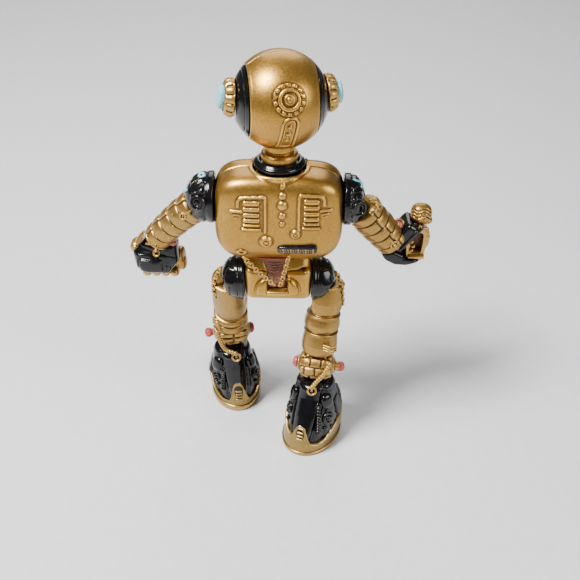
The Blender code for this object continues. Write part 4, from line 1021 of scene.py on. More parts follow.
def build_pelvis():
    build_halves("pelvis", pelvis_half, 0.9, "torso")
    at = centre("chain_bracket") * (0, 1, 0) + np.array([0.2, -0.35, 56.0])
    bracket = Casting()
    for sign in (1, -1):
        outline = [(2.9, 2.75), (3.7, 2.7), (4.6, 2.2), (5.4, 1.3), (5.95, 0.1), (6.15, -1.2), (6.0, -2.3),
                   (5.3, -2.9), (2.7, -2.9), (2.7, -1.0)]
        middle = np.mean(outline, axis=0)
        shifted = [(-sign * (x - middle[0]), z - middle[1]) for x, z in outline]
        bracket.pebble((2, 2.7, 1.65), at + (sign * middle[0], -0.2, middle[1]), (0, 1, 0.12), power=2.7,
                       outline=shifted, size=(110, 20))
    bracket.brick((3.1, 1.2, 0.7), at + (0, 0.65, -1.7), corner=0.6)
    bracket.brick((3.3, 0.6, 0.6), at + (0, 0.1, -2.45), corner=0.3)
    piece("chain_hook_plate", bracket, GOLD, "torso", "gold_paint", "chain_bracket")


# ------------------------------------------------------------------------------------- shoulders and arms

LEFT_ARM = ((22.4, -0.4, 78.2), (26.6, -1.6, 74.4), (31.6, -3.4, 68.8), (35.5, -5.2, 63.8))
RIGHT_ARM = ((-22.4, -0.4, 78.2), (-25.7, -1.6, 73.6), (-29.4, -3.0, 68.9), (-32.3, -4.1, 65.4))


def dome_profile(radius, depth, straight):
    """A domed cup from its face outwards."""
    profile = [(0.01, 0), (radius - 0.3, 0), (radius, 0.3), (radius, straight)]
    for t in np.linspace(0.08, 1.45, 26):
        profile.append((radius * math.cos(t), straight + (depth - straight) * math.sin(t)))
    return finer(soften([*profile, (0.01, depth)], 0.15), 0.25)


def dome(side, joint_z, face, radius, depth, straight, relief):
    sign = SIGN[side]
    return Casting().lathe(dome_profile(radius, depth, straight), (sign * face, 0, joint_z), (sign, 0, 0),
                           150, relief)


def boss(casting, at, axis):
    """A round socket with two steps and a dark six-sided hole."""
    profile = [(0.01, -1.4), (2.3, -1.4), (2.3, 0.55), (2.1, 0.85), (1.75, 0.9), (1.6, 0.6), (1.5, 0.35),
               (1.35, 0.6), (1.05, 0.62), (0.9, 0.4), (0.85, -0.35), (0.01, -0.35)]
    casting.lathe(soften(profile, 0.1), at, axis, 40)


def build_shoulder(side):
    sign = SIGN[side]
    high = sign > 0

    def plates(a, h):
        """A smooth band beside the body, a seam and two broad, low plates; the right cup is studded."""
        rim = 0.2 * pipe(h - 0.9, 0.8)
        seam = 0.14 * groove(h - 2.2, 0.16)
        around = np.abs((a * 5 / TAU + 0.06 * h) % 1 - 0.5) * 8 - 2.9
        plate = 0.28 * raised(around, 1.2) * raised(np.abs(h - 4.4) - 1.7, 0.9)
        studs = 0.16 * pipe(np.hypot(((a * 36 / TAU) % 1 - 0.5) * 1.22, (h - 1.75)), 0.28) * (not high)
        return rim + seam + plate + studs

    cup = dome(side, SHOULDER[2], SHOULDER_FACE, SHOULDER_R, SHOULDER_DEPTH[side], SHOULDER_STRAIGHT, plates)
    at, toward = np.array([21.6, 6.1, SHOULDER[2] + 1.6]), (0.35, 1, 0.1)
    if not high:
        at, toward = np.array([-21.4, 5.5, SHOULDER[2] + 0.2]), (-0.5, 1, 0)
    boss(cup, at, toward)
    if high:
        cup.strand([at + (2.2, -0.4, 2.2), at + (0.4, 0.1, 2.9), at + (-1.9, -0.2, 2.2)], 0.32, 10)
        cup.strand([(19.2, 3.0, 86.7), (22.2, 2.6, 86.3), (24.5, 2.2, 83.9)], 0.4, 10)
        cup.brick((0.8, 1.3, 0.35), (22.6, 1.8, 86.6), (0.5, 0.2, 1), 0.2)
    else:
        cup.strand([at + (1.9, 0.4, 2.4), at + (0.7, 0.1, 2.9), at + (-0.4, -0.9, 2.4)], 0.6, 12)
        cup.strand([(-19.4, 6.0, 84.6), (-20.2, 6.6, 81.6), (-20.0, 6.5, 78.6)], 0.28, 8)
        cup.brick((1.1, 0.8, 0.35), (-21.2, 3.6, 85.6), (-0.5, 0.6, 1), 0.2)
    piece(f"{side}_shoulder_cup", cup, BLACK, f"{side}_arm", "black_paint", f"{side}_shoulder_dome")

    gem = Casting()
    if high:
        gem_at, turn = np.array([20.9, 0.9, 87.75]), basis((0.25, 0.75, 1))
        gem.ring(gem_at, turn[2], 0.62, 0.4, 28, 12)
        for i in range(5):
            spoke = turn[0] * math.cos(i * TAU / 5) + turn[1] * math.sin(i * TAU / 5)
            gem.bead(gem_at + spoke * 0.85, 0.34)
        gem.bead((25.5, 0.9, 83.1), 0.85, steps=20)
        gem.bead((24.8, 1.9, 83.7), 0.42)
        piece("left_shoulder_gem", gem, CYAN, "left_arm", "cyan_paint", "left_shoulder_bead")
    else:
        gem.ring((-21.7, 1.6, 86.2), (-0.35, 0.9, 0.9), 0.66, 0.38, 32, 12, oval=1.25)
        gem.strand([(-20.0, 1.9, 87.8), (-20.8, 1.6, 87.3), (-21.6, 1.0, 86.7)], 0.38, 12)
        piece("right_shoulder_gem", gem, CYAN, "right_arm", "cyan_paint", "right_shoulder_ring")
    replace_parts(piece_peg(side, "shoulder", SHOULDER_FACE, SHOULDER[2]), f"{side}_shoulder_peg")


def piece_peg(side, place, face, joint_z):
    """The mushroom-headed axle behind a cup."""
    sign = SIGN[side]
    box = half_size(f"{side}_{place}_peg")
    middle = centre(f"{side}_{place}_peg")
    long = box[0]
    profile = [(0.01, long), (1.4, long), (1.6, long - 0.25), (1.6, 1.0 - long), (2.2, 1.0 - long),
               (2.2, -long), (0.01, -long)]
    axle = Casting().lathe(soften(profile[::-1], 0.12), (middle[0], 0, joint_z), (sign, 0, 0), 32)
    if place == "hip":
        washer = [(1.5, -0.17), (5.9, -0.17), (5.9, -0.03), (1.5, -0.03), (1.5, -0.17)]
        axle.lathe(washer, (sign * face, 0, joint_z), (sign, 0, 0), 64)
    body = f"{side}_arm" if place == "shoulder" else f"{side}_leg"
    return piece(f"{side}_{place}_axle", axle, DARK, body, "inner_plastic")


REAR_TOP = unit((0, 0.82, 0.57))  # the way that an arm's upper rear face looks
ARM_STEPS = 180


def build_arm(points, radii, rings, over):
    """Overlapping, bulging ring segments along the arm, with a raised, stepped panel on it.

    over is how far the panel sits round from the arm's upper rear face towards its top edge, in degrees.
    """
    line, _ = even_line(smooth_line(points, 24), ARM_STEPS)
    share = np.linspace(0, 1, len(line))
    inside = share * rings % 1
    swell = 0.91 + 0.12 * np.sin(math.pi * (0.1 + 0.8 * inside)) ** 0.7 + 0.02 * inside
    radius = (radii[0] + (radii[1] - radii[0]) * share) * swell
    radius *= np.sqrt(1 - 0.4 * np.clip(1 - share / 0.07, 0, 1) ** 2)

    way = unit(line[1] - line[0])
    rear = unit(REAR_TOP - way * (REAR_TOP @ way))
    edge_way = np.cross(way, rear)
    edge_way *= np.sign(edge_way[2])
    middle = math.cos(math.radians(over)) * rear + math.sin(math.radians(over)) * edge_way
    side_x = basis(way, (0, 1, 0))[0]
    top_angle = math.atan2(middle @ np.cross(way, side_x), middle @ side_x)

    def relief(s, a):
        ring_index = np.floor(np.clip(s, 0, 0.999) * rings)
        within = (s * rings) % 1
        seam = -0.07 * np.exp(-((np.minimum(within, 1 - within) / 0.06) ** 2))
        step = top_angle + 0.1 * ((ring_index % 2) * 2 - 1)
        swing = (a - step + math.pi) % TAU - math.pi
        plate = 0.05 * raised(np.abs(swing) - 0.62, 0.08)
        edge = -0.05 * np.exp(-(((np.abs(swing) - 0.68) / 0.04) ** 2))
        return 1 + seam + plate + edge

    limb = Casting().tube(line, radius, 96, up=(0, 1, 0), relief=relief, round_ends=False)
    return limb, line, radius


def surface_spot(line, radius, share, toward):
    """A point on an arm's surface at a share of its length, on the side that faces toward."""
    i = int(share * (len(line) - 1))
    way = unit(line[min(i + 1, len(line) - 1)] - line[max(i - 1, 0)])
    out = np.asarray(toward, float)
    out = unit(out - way * (out @ way))
    return line[i] + out * radius[i], out, way


def build_left_arm():
    limb, line, radius = build_arm(LEFT_ARM, (4.6, 3.9), 5, 73)
    for share, toward in ((0.42, (0, 1, 0.2)), (0.5, (-0.3, 1, -0.5)), (0.62, (0, 1, 0.3)),
                          (0.66, (0, 1, -0.6)), (0.78, (0.2, 1, 0.3)), (0.3, (0.2, 1, 0.9)),
                          (0.84, (-0.2, 1, -0.3))):
        at, out, _ = surface_spot(line, radius, share, toward)
        limb.bead(at, 0.3, out)
    at, out, way = surface_spot(line, radius, 0.17, (0.1, 1, 0.25))
    limb.ring(at + out * 0.1, out, 0.85, 0.34)
    limb.bead(at, 0.35, out)
    limb.chain([at - way * 1.2 + out * 0.1, at - way * 2.2 + out * 0.2, at - way * 3.4 + out * 0.1], 0.8,
               0.32, 0.2, 1.3)
    end = line[-1]
    limb.ring(end - unit(line[-1] - line[-6]) * 0.6, line[-1] - line[-6], 3.75, 0.42, 56, 12)
    piece("left_arm_rings", limb, PALE, "left_arm", "gold_paint", "left_arm_tube")


def build_right_arm():
    limb, line, radius = build_arm(RIGHT_ARM, (4.95, 4.6), 4.5, 44)
    at, out, way = surface_spot(line, radius, 0.08, (-0.5, 0.5, 1))
    limb.ring(at, out, 1.0, 0.42)
    limb.bead(at, 0.4, out)
    strap = [at - way * 2.6 - out * 0.9, at - way * 1.8 + out * 0.0, at - way * 0.8 + out * 0.2]
    limb.strand(strap, 0.55, 12)
    at, out, way = surface_spot(line, radius, 0.86, (-0.2, 1, 0.15))
    limb.hose([at - way * 0.4, at + way * 0.6 + out * 0.5, at + way * 1.9 + out * 0.2], 0.62, 0.7)
    limb.ring(at + way * 0.3 + out * 0.2, out, 1.0, 0.3)
    piece("right_arm_rings", limb, PALE, "right_arm", "gold_paint", "right_arm_tube")


# ------------------------------------------------------------------------------------------------ hands

def finger(casting, path, radius, tip=0.85):
    """A jointed finger: a tube that pinches at its knuckles."""
    line, _ = even_line(smooth_line(path, 10), 60)
    share = np.linspace(0, 1, 60)
    pinch = np.exp(-(((share - 0.36) / 0.05) ** 2)) + np.exp(-(((share - 0.68) / 0.05) ** 2))
    knuckles = 1 - 0.1 * pinch
    return casting.tube(line, radius * knuckles * (1 + (tip - 1) * share), 20)


def build_left_hand():
    at = centre("left_gauntlet")
    corners = ((39.0, 63.2), (43.2, 58.4), (42.4, 53.6), (39.6, 51.5), (32.6, 51.6), (29.7, 55.8),
               (30.0, 61.4), (32.4, 63.4))

    def panel(x, y, lift):
        """The raised plate on the back of the hand, and the cuts beside it."""
        inner = block_distance(x, y, 1.2, -2.2, 3.3, 2.0, 0.6)
        rim = block_distance(x, y, 1.2, -1.7, 4.4, 3.1, 0.9)
        return (0.5 * raised(inner, 0.35) + 0.3 * raised(rim, 0.4) + 0.2 * groove(inner - 0.4, 0.2)
                + 0.2 * groove(x + 4.6, 0.2) + 0.2 * groove(y - 2.4 - 0.3 * x, 0.22)) * (lift > 0)

    mirrored = [(36.4 - x, z - 56.9) for x, z in corners]
    glove = Casting().pebble((6.3, 5.4, 3.7), (35.9, at[1], 58.2), (0.05, 1, 0.12), power=3.8,
                             outline=mirrored, relief=lambda x, y, lift: panel(-x, y, lift), size=(150, 60))
    for x in (33.4, 35.6, 37.8):
        glove.brick((0.45, 0.3, 0.8), (x - 0.5, at[1] + 3.95, 55.8), corner=0.2)
    piece("left_glove", glove, BLACK, "left_arm", "black_paint", "left_gauntlet")

    hand = Casting()
    hand.pebble((5.3, 4.0, 2.4), (34.9, -10.4, 53.6), (0, 1, 0), power=3.2, size=(64, 28))
    for i in range(4):
        x = 31.4 + 2.75 * i
        bend = [(x, -7.6, 50.6), (x, -9.6, 49.6), (x, -12.2, 49.8), (x, -13.0, 52.2), (x, -12.8, 54.8),
                (x, -11.4, 56.0)]
        finger(hand, bend, 1.4)
    finger(hand, [(41.9, -6.4, 60.2), (41.8, -9.0, 60.0), (40.2, -12.0, 58.8), (36.8, -13.2, 57.6)], 1.9, 0.8)
    hand.pebble((1.5, 2.9, 2.3), (29.4, -7.6, 56.6), (0.2, 1, 0), power=2.6)
    hand.pebble((1.3, 2.4, 1.6), (28.8, -7.2, 54.6), (0.2, 1, 0), power=2.6)
    hand.bead((42.0, -5.2, 60.6), 1.05, steps=24)
    for i in range(4):
        hand.brick((0.5, 0.55, 0.4), (39.5 + 0.42 * i, -2.6 - 0.3 * i, 66.4 - 0.95 * i), (0.7, 0.3, 0.6),
                   0.15)
    hand.strand([(38.9, -3.6, 67.0), (40.1, -4.0, 64.8), (41.3, -4.6, 62.2)], 0.45, 12)
    piece("left_fist", hand, PALE, "left_arm", "gold_paint", "left_hand")

    ring = Casting()
    spot = np.array([35.3, -0.9, 61.5])
    ring.ring(spot, (0.1, 1, 0.5), 0.75, 0.32, 32, 10, oval=1.15)
    ring.bead(spot + (0.0, 0.5, 1.2), 0.5)
    ring.chain([spot + (-0.5, 0.1, 4.0), spot + (-0.3, 0.4, 2.8), spot + (0, 0.5, 1.3)], 0.85, 0.4, 0.24, 1.3)
    for sign in (1, -1):
        cord = [spot + (sign * 0.5 - 0.5, 0.0, 3.8), spot + (sign * 2.0 - 0.5, -0.5, 2.7),
                spot + (sign * 3.4 - 0.5, -1.5, 2.2)]
        ring.strand(cord, 0.33, 10)
    piece("left_cuff_chain", ring, PALE, "left_arm", "gold_paint", "left_wrist_ring")
    stud(centre("left_wrist_button"), 1.3, "left")


def stud(at, size, side):
    """The red wrist stud, with a shallow ring round its top."""
    bead = Casting().bead(at, size, steps=28)
    bead.ring(at + np.array([0, 0.62, 0.62]) * size, (0, 1, 1), 0.5 * size, 0.14 * size, 24, 8)
    piece(f"{side}_wrist_stud", bead, RED, f"{side}_arm", "red_paint", f"{side}_wrist_button")


def build_right_hand():
    lean = unit((-0.6, 0, 0.8))
    at = np.array([-34.1, -6.0, 65.2])
    outline = [(0.6, -5.6), (2.0, -5.6), (2.3, -1.0), (2.2, 6.6), (-2.0, 6.9), (-2.3, -1.0), (-0.9, -3.0)]

    glove = Casting()
    grow = [(x * 2.15, y * 1.05) for x, y in outline]
    glove.pebble((4.8, 7.2, 2.1), at, unit((-0.8, 0, -0.6)), power=4.6, outline=grow, size=(96, 36), up=lean)
    plate_at = at + unit((-0.8, 0, -0.6)) * 1.35
    glove.pebble((5.0, 7.0, 0.5), plate_at, unit((-0.8, 0, -0.6)), power=6,
                 outline=[(x * 2.3, y * 1.04) for x, y in outline], size=(96, 14), up=lean)
    edge = [at + lean * shift + (-0.7, 2.2, 0.4) for shift in (-1.5, 2.5, 6.6)]
    glove.tube(edge, 0.5, 12)
    glove.tube([spot + (-2.0, 0.2, -1.2) for spot in edge], 0.5, 12)
    cuff = ((-29.4, 61.2), (-30.8, 58.9), (-33.8, 57.3), (-37.6, 57.1), (-41.3, 58.3), (-41.0, 59.4),
            (-37.2, 58.9), (-36.2, 60.5), (-33.0, 62.0))
    glove.pebble((7, 3, 3.4), (-34.5, -6.3, 58.8), (0, 1, 0), power=6,
                 outline=[(-x - 34.5, z - 58.8) for x, z in cuff], size=(120, 30))
    piece("right_glove", glove, BLACK, "right_arm", "black_paint", "right_gauntlet")

    hand = Casting()
    middle = np.array([-40.0, -7.2, 64.0])
    outer = ((-36.7, 64.8), (-37.2, 66.4), (-40.6, 69.9), (-41.6, 69.4), (-43.3, 67.0), (-43.2, 64.2),
             (-42.4, 61.6), (-42.3, 58.8), (-40.4, 57.7), (-37.1, 57.5))
    inner = ((-38.2, 65.2), (-40.6, 67.6), (-41.5, 67.0), (-41.5, 64.0), (-41.2, 61.0), (-38.2, 60.8))
    rims = [[(-x - 40.0, z - 64.0) for x, z in shape] for shape in (outer, inner)]
    hand.loop(*rims, middle, (0, 1, 0), 2.9, 0.45)
    for x, z in ((-38.3, 64.8), (-38.8, 63.3), (-38.4, 61.9)):
        hand.pebble((0.8, 0.62, 1.6), (x, -5.2, z), (0, 1, 0), power=2.6, size=(28, 14))
    hand.brick((2.4, 1.6, 0.55), (-39.9, -4.9, 60.2), (0.05, 0.35, 1), 0.3, up=(0, 1, 0))
    finger(hand, [(-42.4, -5.2, 63.6), (-42.7, -5.0, 66.0), (-42.3, -5.3, 68.3)], 0.95)
    hand.brick((0.55, 0.6, 3.4), (-38.6, -4.3, 67.4), lean, 0.3)
    hand.strand([(-39.6, -7.2, 67.6), (-40.0, -7.2, 69.2), (-40.3, -7.2, 70.9)], 1.3, 18)

    def creases(x, y, _lift):
        """Folds on the knuckles."""
        wave = 0.35 * np.sin(1.7 * x)
        folds = 0.3 * groove(y - 1.0 - wave, 0.2) + 0.3 * groove(y - 0.1 - wave, 0.18)
        folds = folds + 0.28 * groove(y + 1.0 - wave, 0.2)
        return folds + 0.2 * groove(np.hypot(x - 1.6, y + 1.8) - 0.9, 0.16)

    hand.pebble((3.1, 3.0, 2.9), (-40.6, -7.2, 72.6), (0.1, 1, 0.45), power=2.4, relief=creases,
                size=(110, 56))
    hand.pebble((1.5, 1.1, 2.2), (-42.4, -7.0, 70.9), (0, 1, 0), power=2.4)
    piece("right_grip", hand, PALE, "right_arm", "gold_paint", "right_hand")
    # A brown pad in the hollow of the open hand: painted shade in the palm.
    palm = Casting().pebble((2.2, 4.2, 1.2), (-40.0, -8.2, 64.2), (0, 1, 0), power=3.4, size=(48, 24))
    piece("right_palm_shade", palm, BROWN, "right_arm", "brown_paint")
    stud(centre("right_wrist_button"), 1.15, "right")
    clip = Casting().ring(centre("right_wrist_button") + (0.2, 0.6, 0.9), (0.1, 1, 0.5), 1.25, 0.3, 24, 8,
                          arc=0.6)
    piece("right_wrist_clip", clip, PALE, "right_arm", "gold_paint")


# ------------------------------------------------------------------------------------------------- legs

HIP_Z, HIP_FACE, HIP_R = centre("left_hip_peg")[2], 9.6, 6.6
HIP_DEPTH, HIP_STRAIGHT = 6.95, 1.6
THIGH_R = 5.2
BARREL_R, BARREL_HALF = 4.6, 5.8
LEGS = {
    "left": {
        "sole": (14.3, -13.3), "toe_out": 9, "knee_out": 13, "drums": (1.0, 17.5, 20.8),
        "knee_blocks": (13, 4.4), "sole_grow": (0.0, 0.0), "sole_shift": 0.0, "welt": 1.6,
        "heel": (4.2, 7.8, -0.5),
        "hip_cable": ((17.0, 2.8, 58.2), (18.4, 2.4, 54.4), (18.9, 1.4, 50.6), (18.0, 0.6, 46.8)),
        "cable": ((13.2, -3.2, 22.8), (16.4, -3.2, 24.4), (17.9, -3.0, 27.6), (19.0, -3.1, 31.4),
                  (18.7, -3.4, 34.6)),
    },
    "right": {
        "sole": (-11.6, 6.4), "toe_out": 22, "knee_out": 9, "drums": (1.0, 10.8, 16.5),
        "knee_blocks": (9, 3.3), "sole_grow": (0.8, 0.5), "sole_shift": 0.5, "welt": 0.8,
        "heel": (5.2, 5.4, 1.2),
        "hip_cable": ((-16.6, 3.0, 58.2), (-18.2, 3.0, 54.4), (-18.6, 2.9, 50.6), (-18.9, 2.4, 47.4)),
        "cable": ((-10.5, 12.2, 22.8), (-11.6, 12.0, 24.6), (-13.8, 11.4, 27.2), (-15.6, 10.5, 30.6),
                  (-15.9, 9.7, 34.8)),
    },
}
SOLE_A, SOLE_B, SOLE_H = 8.0, 12.0, 3.6
BOOT_TOP_Z = 21.6
HEEL = 90  # degrees round a boot from the robot's left side
BOOT_ROWS = ((0.0, 7.6, 11.4), (0.25, 7.4, 10.8), (0.5, 6.9, 8.8), (0.78, 5.9, 6.3), (1.0, 5.1, 4.9))


def outward(sign, degrees):
    a = math.radians(degrees)
    return np.array([sign * math.cos(a), math.sin(a), 0])


def build_hip(side, sign):
    def plates(a, h):
        """A smooth hip cup with a rim, a seam and a raised crown."""
        rim = 0.2 * pipe(h - 0.7, 0.5)
        seam = 0.16 * groove(h - 2.0, 0.12)
        return rim + seam + 0.22 * raised(4.4 - h, 0.3) + 0.12 * groove(h - 4.3, 0.12) + 0 * a

    cup = dome(side, HIP_Z, HIP_FACE, HIP_R, HIP_DEPTH, HIP_STRAIGHT, plates)
    cup.ring((sign * 12.0, 5.9, HIP_Z + 0.8), (sign * 0.3, 1, 0.1), 0.75, 0.28)
    cup.pebble((1.9, 2.6, 0.7), (sign * 13.6, 4.7, HIP_Z + 2.8), (sign * 0.45, 1, 0.55), power=3)
    strap = [(sign * x, y, HIP_Z - drop) for x, y, drop in ((11.6, 5.4, 2.8), (13.6, 5.0, 2.4), (15.2, 3.6, 1.2))]
    cup.strand(strap, 0.4, 10)
    piece(f"{side}_hip_cup", cup, BLACK, f"{side}_leg", "black_paint", f"{side}_hip_dome")
    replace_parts(piece_peg(side, "hip", HIP_FACE, HIP_Z), f"{side}_hip_peg")


def build_thigh(side, sign, knee):
    """Stacked drums, each with a lip round its top and tucked in at its foot."""
    hip = np.array([sign * (HIP_FACE + 4.8), 0, HIP_Z])
    way = unit(knee - hip)
    length = np.linalg.norm(knee - hip) - BARREL_R + 0.2
    starts, radius = LEGS[side]["drums"], THIGH_R
    profile = [(0.01, -starts[0]), (radius * 0.8, -starts[0])]
    for start, end in zip(starts, (*starts[1:], length)):
        for drop, size in ((0.03, 0.88), (0.2, 0.99), (0.45, 1.01), (0.7, 0.98), (1.0, 0.95)):
            profile.append((radius * size, -(start + drop)))
        for share, size in ((0.38, 1.0), (0.6, 1.03), (0.8, 1.0), (0.92, 0.94), (0.985, 0.86)):
            profile.append((radius * size, -(start + (end - start) * share)))
    profile += [(radius * 0.78, -length), (0.01, -length - 0.8)]

    local_x, local_y, _ = basis(-way)
    inner = math.atan2(-sign * local_y[0], -sign * local_x[0])

    def scores(a, h):
        """Two mould lines, and a flat on the inner side that clears the pelvis when the leg swings."""
        line = 0.1 * groove(np.abs(np.sin(a + 0.35 * sign)) * radius, 0.1)
        line = line * raised(np.abs(h + length * 0.6) - 2.4)
        facing = np.cos(a - inner)
        room = abs(hip[0]) + abs(way[0]) * h - PELVIS_HALF[0] - 0.35
        shave = np.clip(1.03 * radius * facing - room, 0, None) / np.maximum(facing, 0.4)
        return line - shave * (1 - ease((np.abs(h) - 9) / 3))

    limb = Casting().lathe(finer(soften(profile, 0.16)[::-1], 0.35), hip, -way, 96, scores)
    limb.chain(LEGS[side]["hip_cable"], 1.05, 0.55, 0.33, 1.3)
    out = outward(sign, LEGS[side]["knee_out"])
    last = np.array(LEGS[side]["cable"][-1])
    for drop in (1.6, 0.7, -0.2):
        bar = [last + out * 1.4 + (0, -1.0, drop), last + (0, 0.3, drop + 0.1),
               last - out * 2.3 + (0, -0.1, drop + 0.25)]
        limb.strand(bar, 0.34, 10)
    piece(f"{side}_thigh_drums", limb, PALE, f"{side}_leg", "gold_paint", f"{side}_thigh")


def build_knee(side, sign, knee):
    out = outward(sign, LEGS[side]["knee_out"])
    bulge = [(1.0, 0.40), (0.9, 0.62), (0.76, 0.79), (0.55, 0.93), (0.3, 0.99), (0.0, 1.0), (-0.3, 0.99),
             (-0.55, 0.93), (-0.76, 0.79), (-0.9, 0.62), (-1.0, 0.40)]
    profile = [(0.01, -BARREL_HALF), *[(BARREL_R * r, -BARREL_HALF * h) for h, r in bulge],
               (0.01, BARREL_HALF)]

    def blocks(a, h):
        """Rows of pillowed blocks with broken joints."""
        rows, long = LEGS[side]["knee_blocks"]
        row = np.floor(a / TAU * rows)
        across = (a / TAU * rows) % 1 - 0.5
        along = (h + (row % 2) * long / 2) / long
        joint = np.minimum(np.abs(along - np.round(along)) * long, (0.5 - np.abs(across)) * TAU * 4.2 / rows)
        return 0.45 * ease(joint / 0.6) * raised(np.abs(h) - 4.7, 0.5) - 0.2

    barrel = Casting().lathe(finer(soften(profile, 0.3), 0.2), knee, out, 144, blocks)
    for offset in (BARREL_HALF - 0.5, 0.5 - BARREL_HALF):
        barrel.ring(knee + out * offset, out, 1.95, 0.34, 36, 10)
    if side == "right":
        barrel.lathe(soften([(0.01, 0), (1.45, 0), (1.45, 1.1), (1.2, 1.5), (0.01, 1.5)], 0.2),
                     knee + out * (BARREL_HALF - 0.2), out, 32)
    piece(f"{side}_knee_spindle", barrel, PALE, f"{side}_leg", "gold_paint", f"{side}_knee_barrel")
    outer_tip = [(0.01, 0), (1.15, 0), (1.2, 0.7), (1.5, 1.0), (1.55, 1.6), (1.35, 2.2), (0.8, 2.6),
                 (0.01, 2.7)]
    inner_tip = [(0.01, 0), (1.85, 0), (1.8, 0.5), (1.5, 1.0), (0.9, 1.35), (0.01, 1.45)]
    for place, way, shape in (("outer", out, outer_tip), ("inner", -out, inner_tip)):
        tip = Casting().lathe(soften(shape, 0.25), knee + way * (BARREL_HALF + 0.1), way, 40)
        piece(f"{side}_knee_{place}_stud", tip, RED, f"{side}_leg", "red_paint", f"{side}_knee_{place}_tip")

    path = LEGS[side]["cable"]
    cable = Casting().hose(path[:-1], 0.72, 0.85, 0.3)
    cable.bead(path[-1], 0.95)
    cable.ring(np.array(path[0]) + (0, -0.1, -1.5), (0, 1, 0.4), 1.22, 0.32, 40, 12)
    cable.bead(np.array(path[0]) + (0, -0.2, -1.5), 0.42)
    cable.bead(np.array(path[0]) + (0, 0.1, -0.2), 0.6)
    piece(f"{side}_knee_hose", cable, PALE, f"{side}_leg", "gold_paint", f"{side}_knee_cable")


def boot_section(t):
    """The boot's half-width and half-length at a share of its height."""
    levels, half_wides, half_longs = zip(*BOOT_ROWS)
    return np.interp(t, levels, half_wides), np.interp(t, levels, half_longs)


class Foot:
    """A boot's own frame: its heel is at its own +Y, and it leans over to the knee."""

    def __init__(self, side, knee):
        leg = LEGS[side]
        self.sole = np.array([*leg["sole"], 0.0])
        self.sign = SIGN[side]
        self.turn = self.sign * leg["toe_out"]
        self.top = turn_z(knee - self.sole, -self.turn)[:2]

    def spot(self, degrees, height, out=0.0):
        """A point on the boot's surface: 90 degrees is the heel, and 0 is the robot's left side."""
        low = SOLE_H + 0.2
        t = np.clip((height - low) / (BOOT_TOP_Z - low), 0, 1)
        a = np.radians(degrees)
        wide, long = boot_section(t)
        shift = t * t * (3 - 2 * t)
        x = (wide + out) * np.cos(a) + self.top[0] * shift
        y = (long + out) * np.sin(a) + self.top[1] * shift
        own = np.stack(np.broadcast_arrays(x, y, height + 0 * x), axis=-1)
        return turn_z(own, self.turn) + self.sole

    def out(self, degrees):
        a = math.radians(degrees)
        return turn_z(unit((math.cos(a), math.sin(a), 0.25)), self.turn)


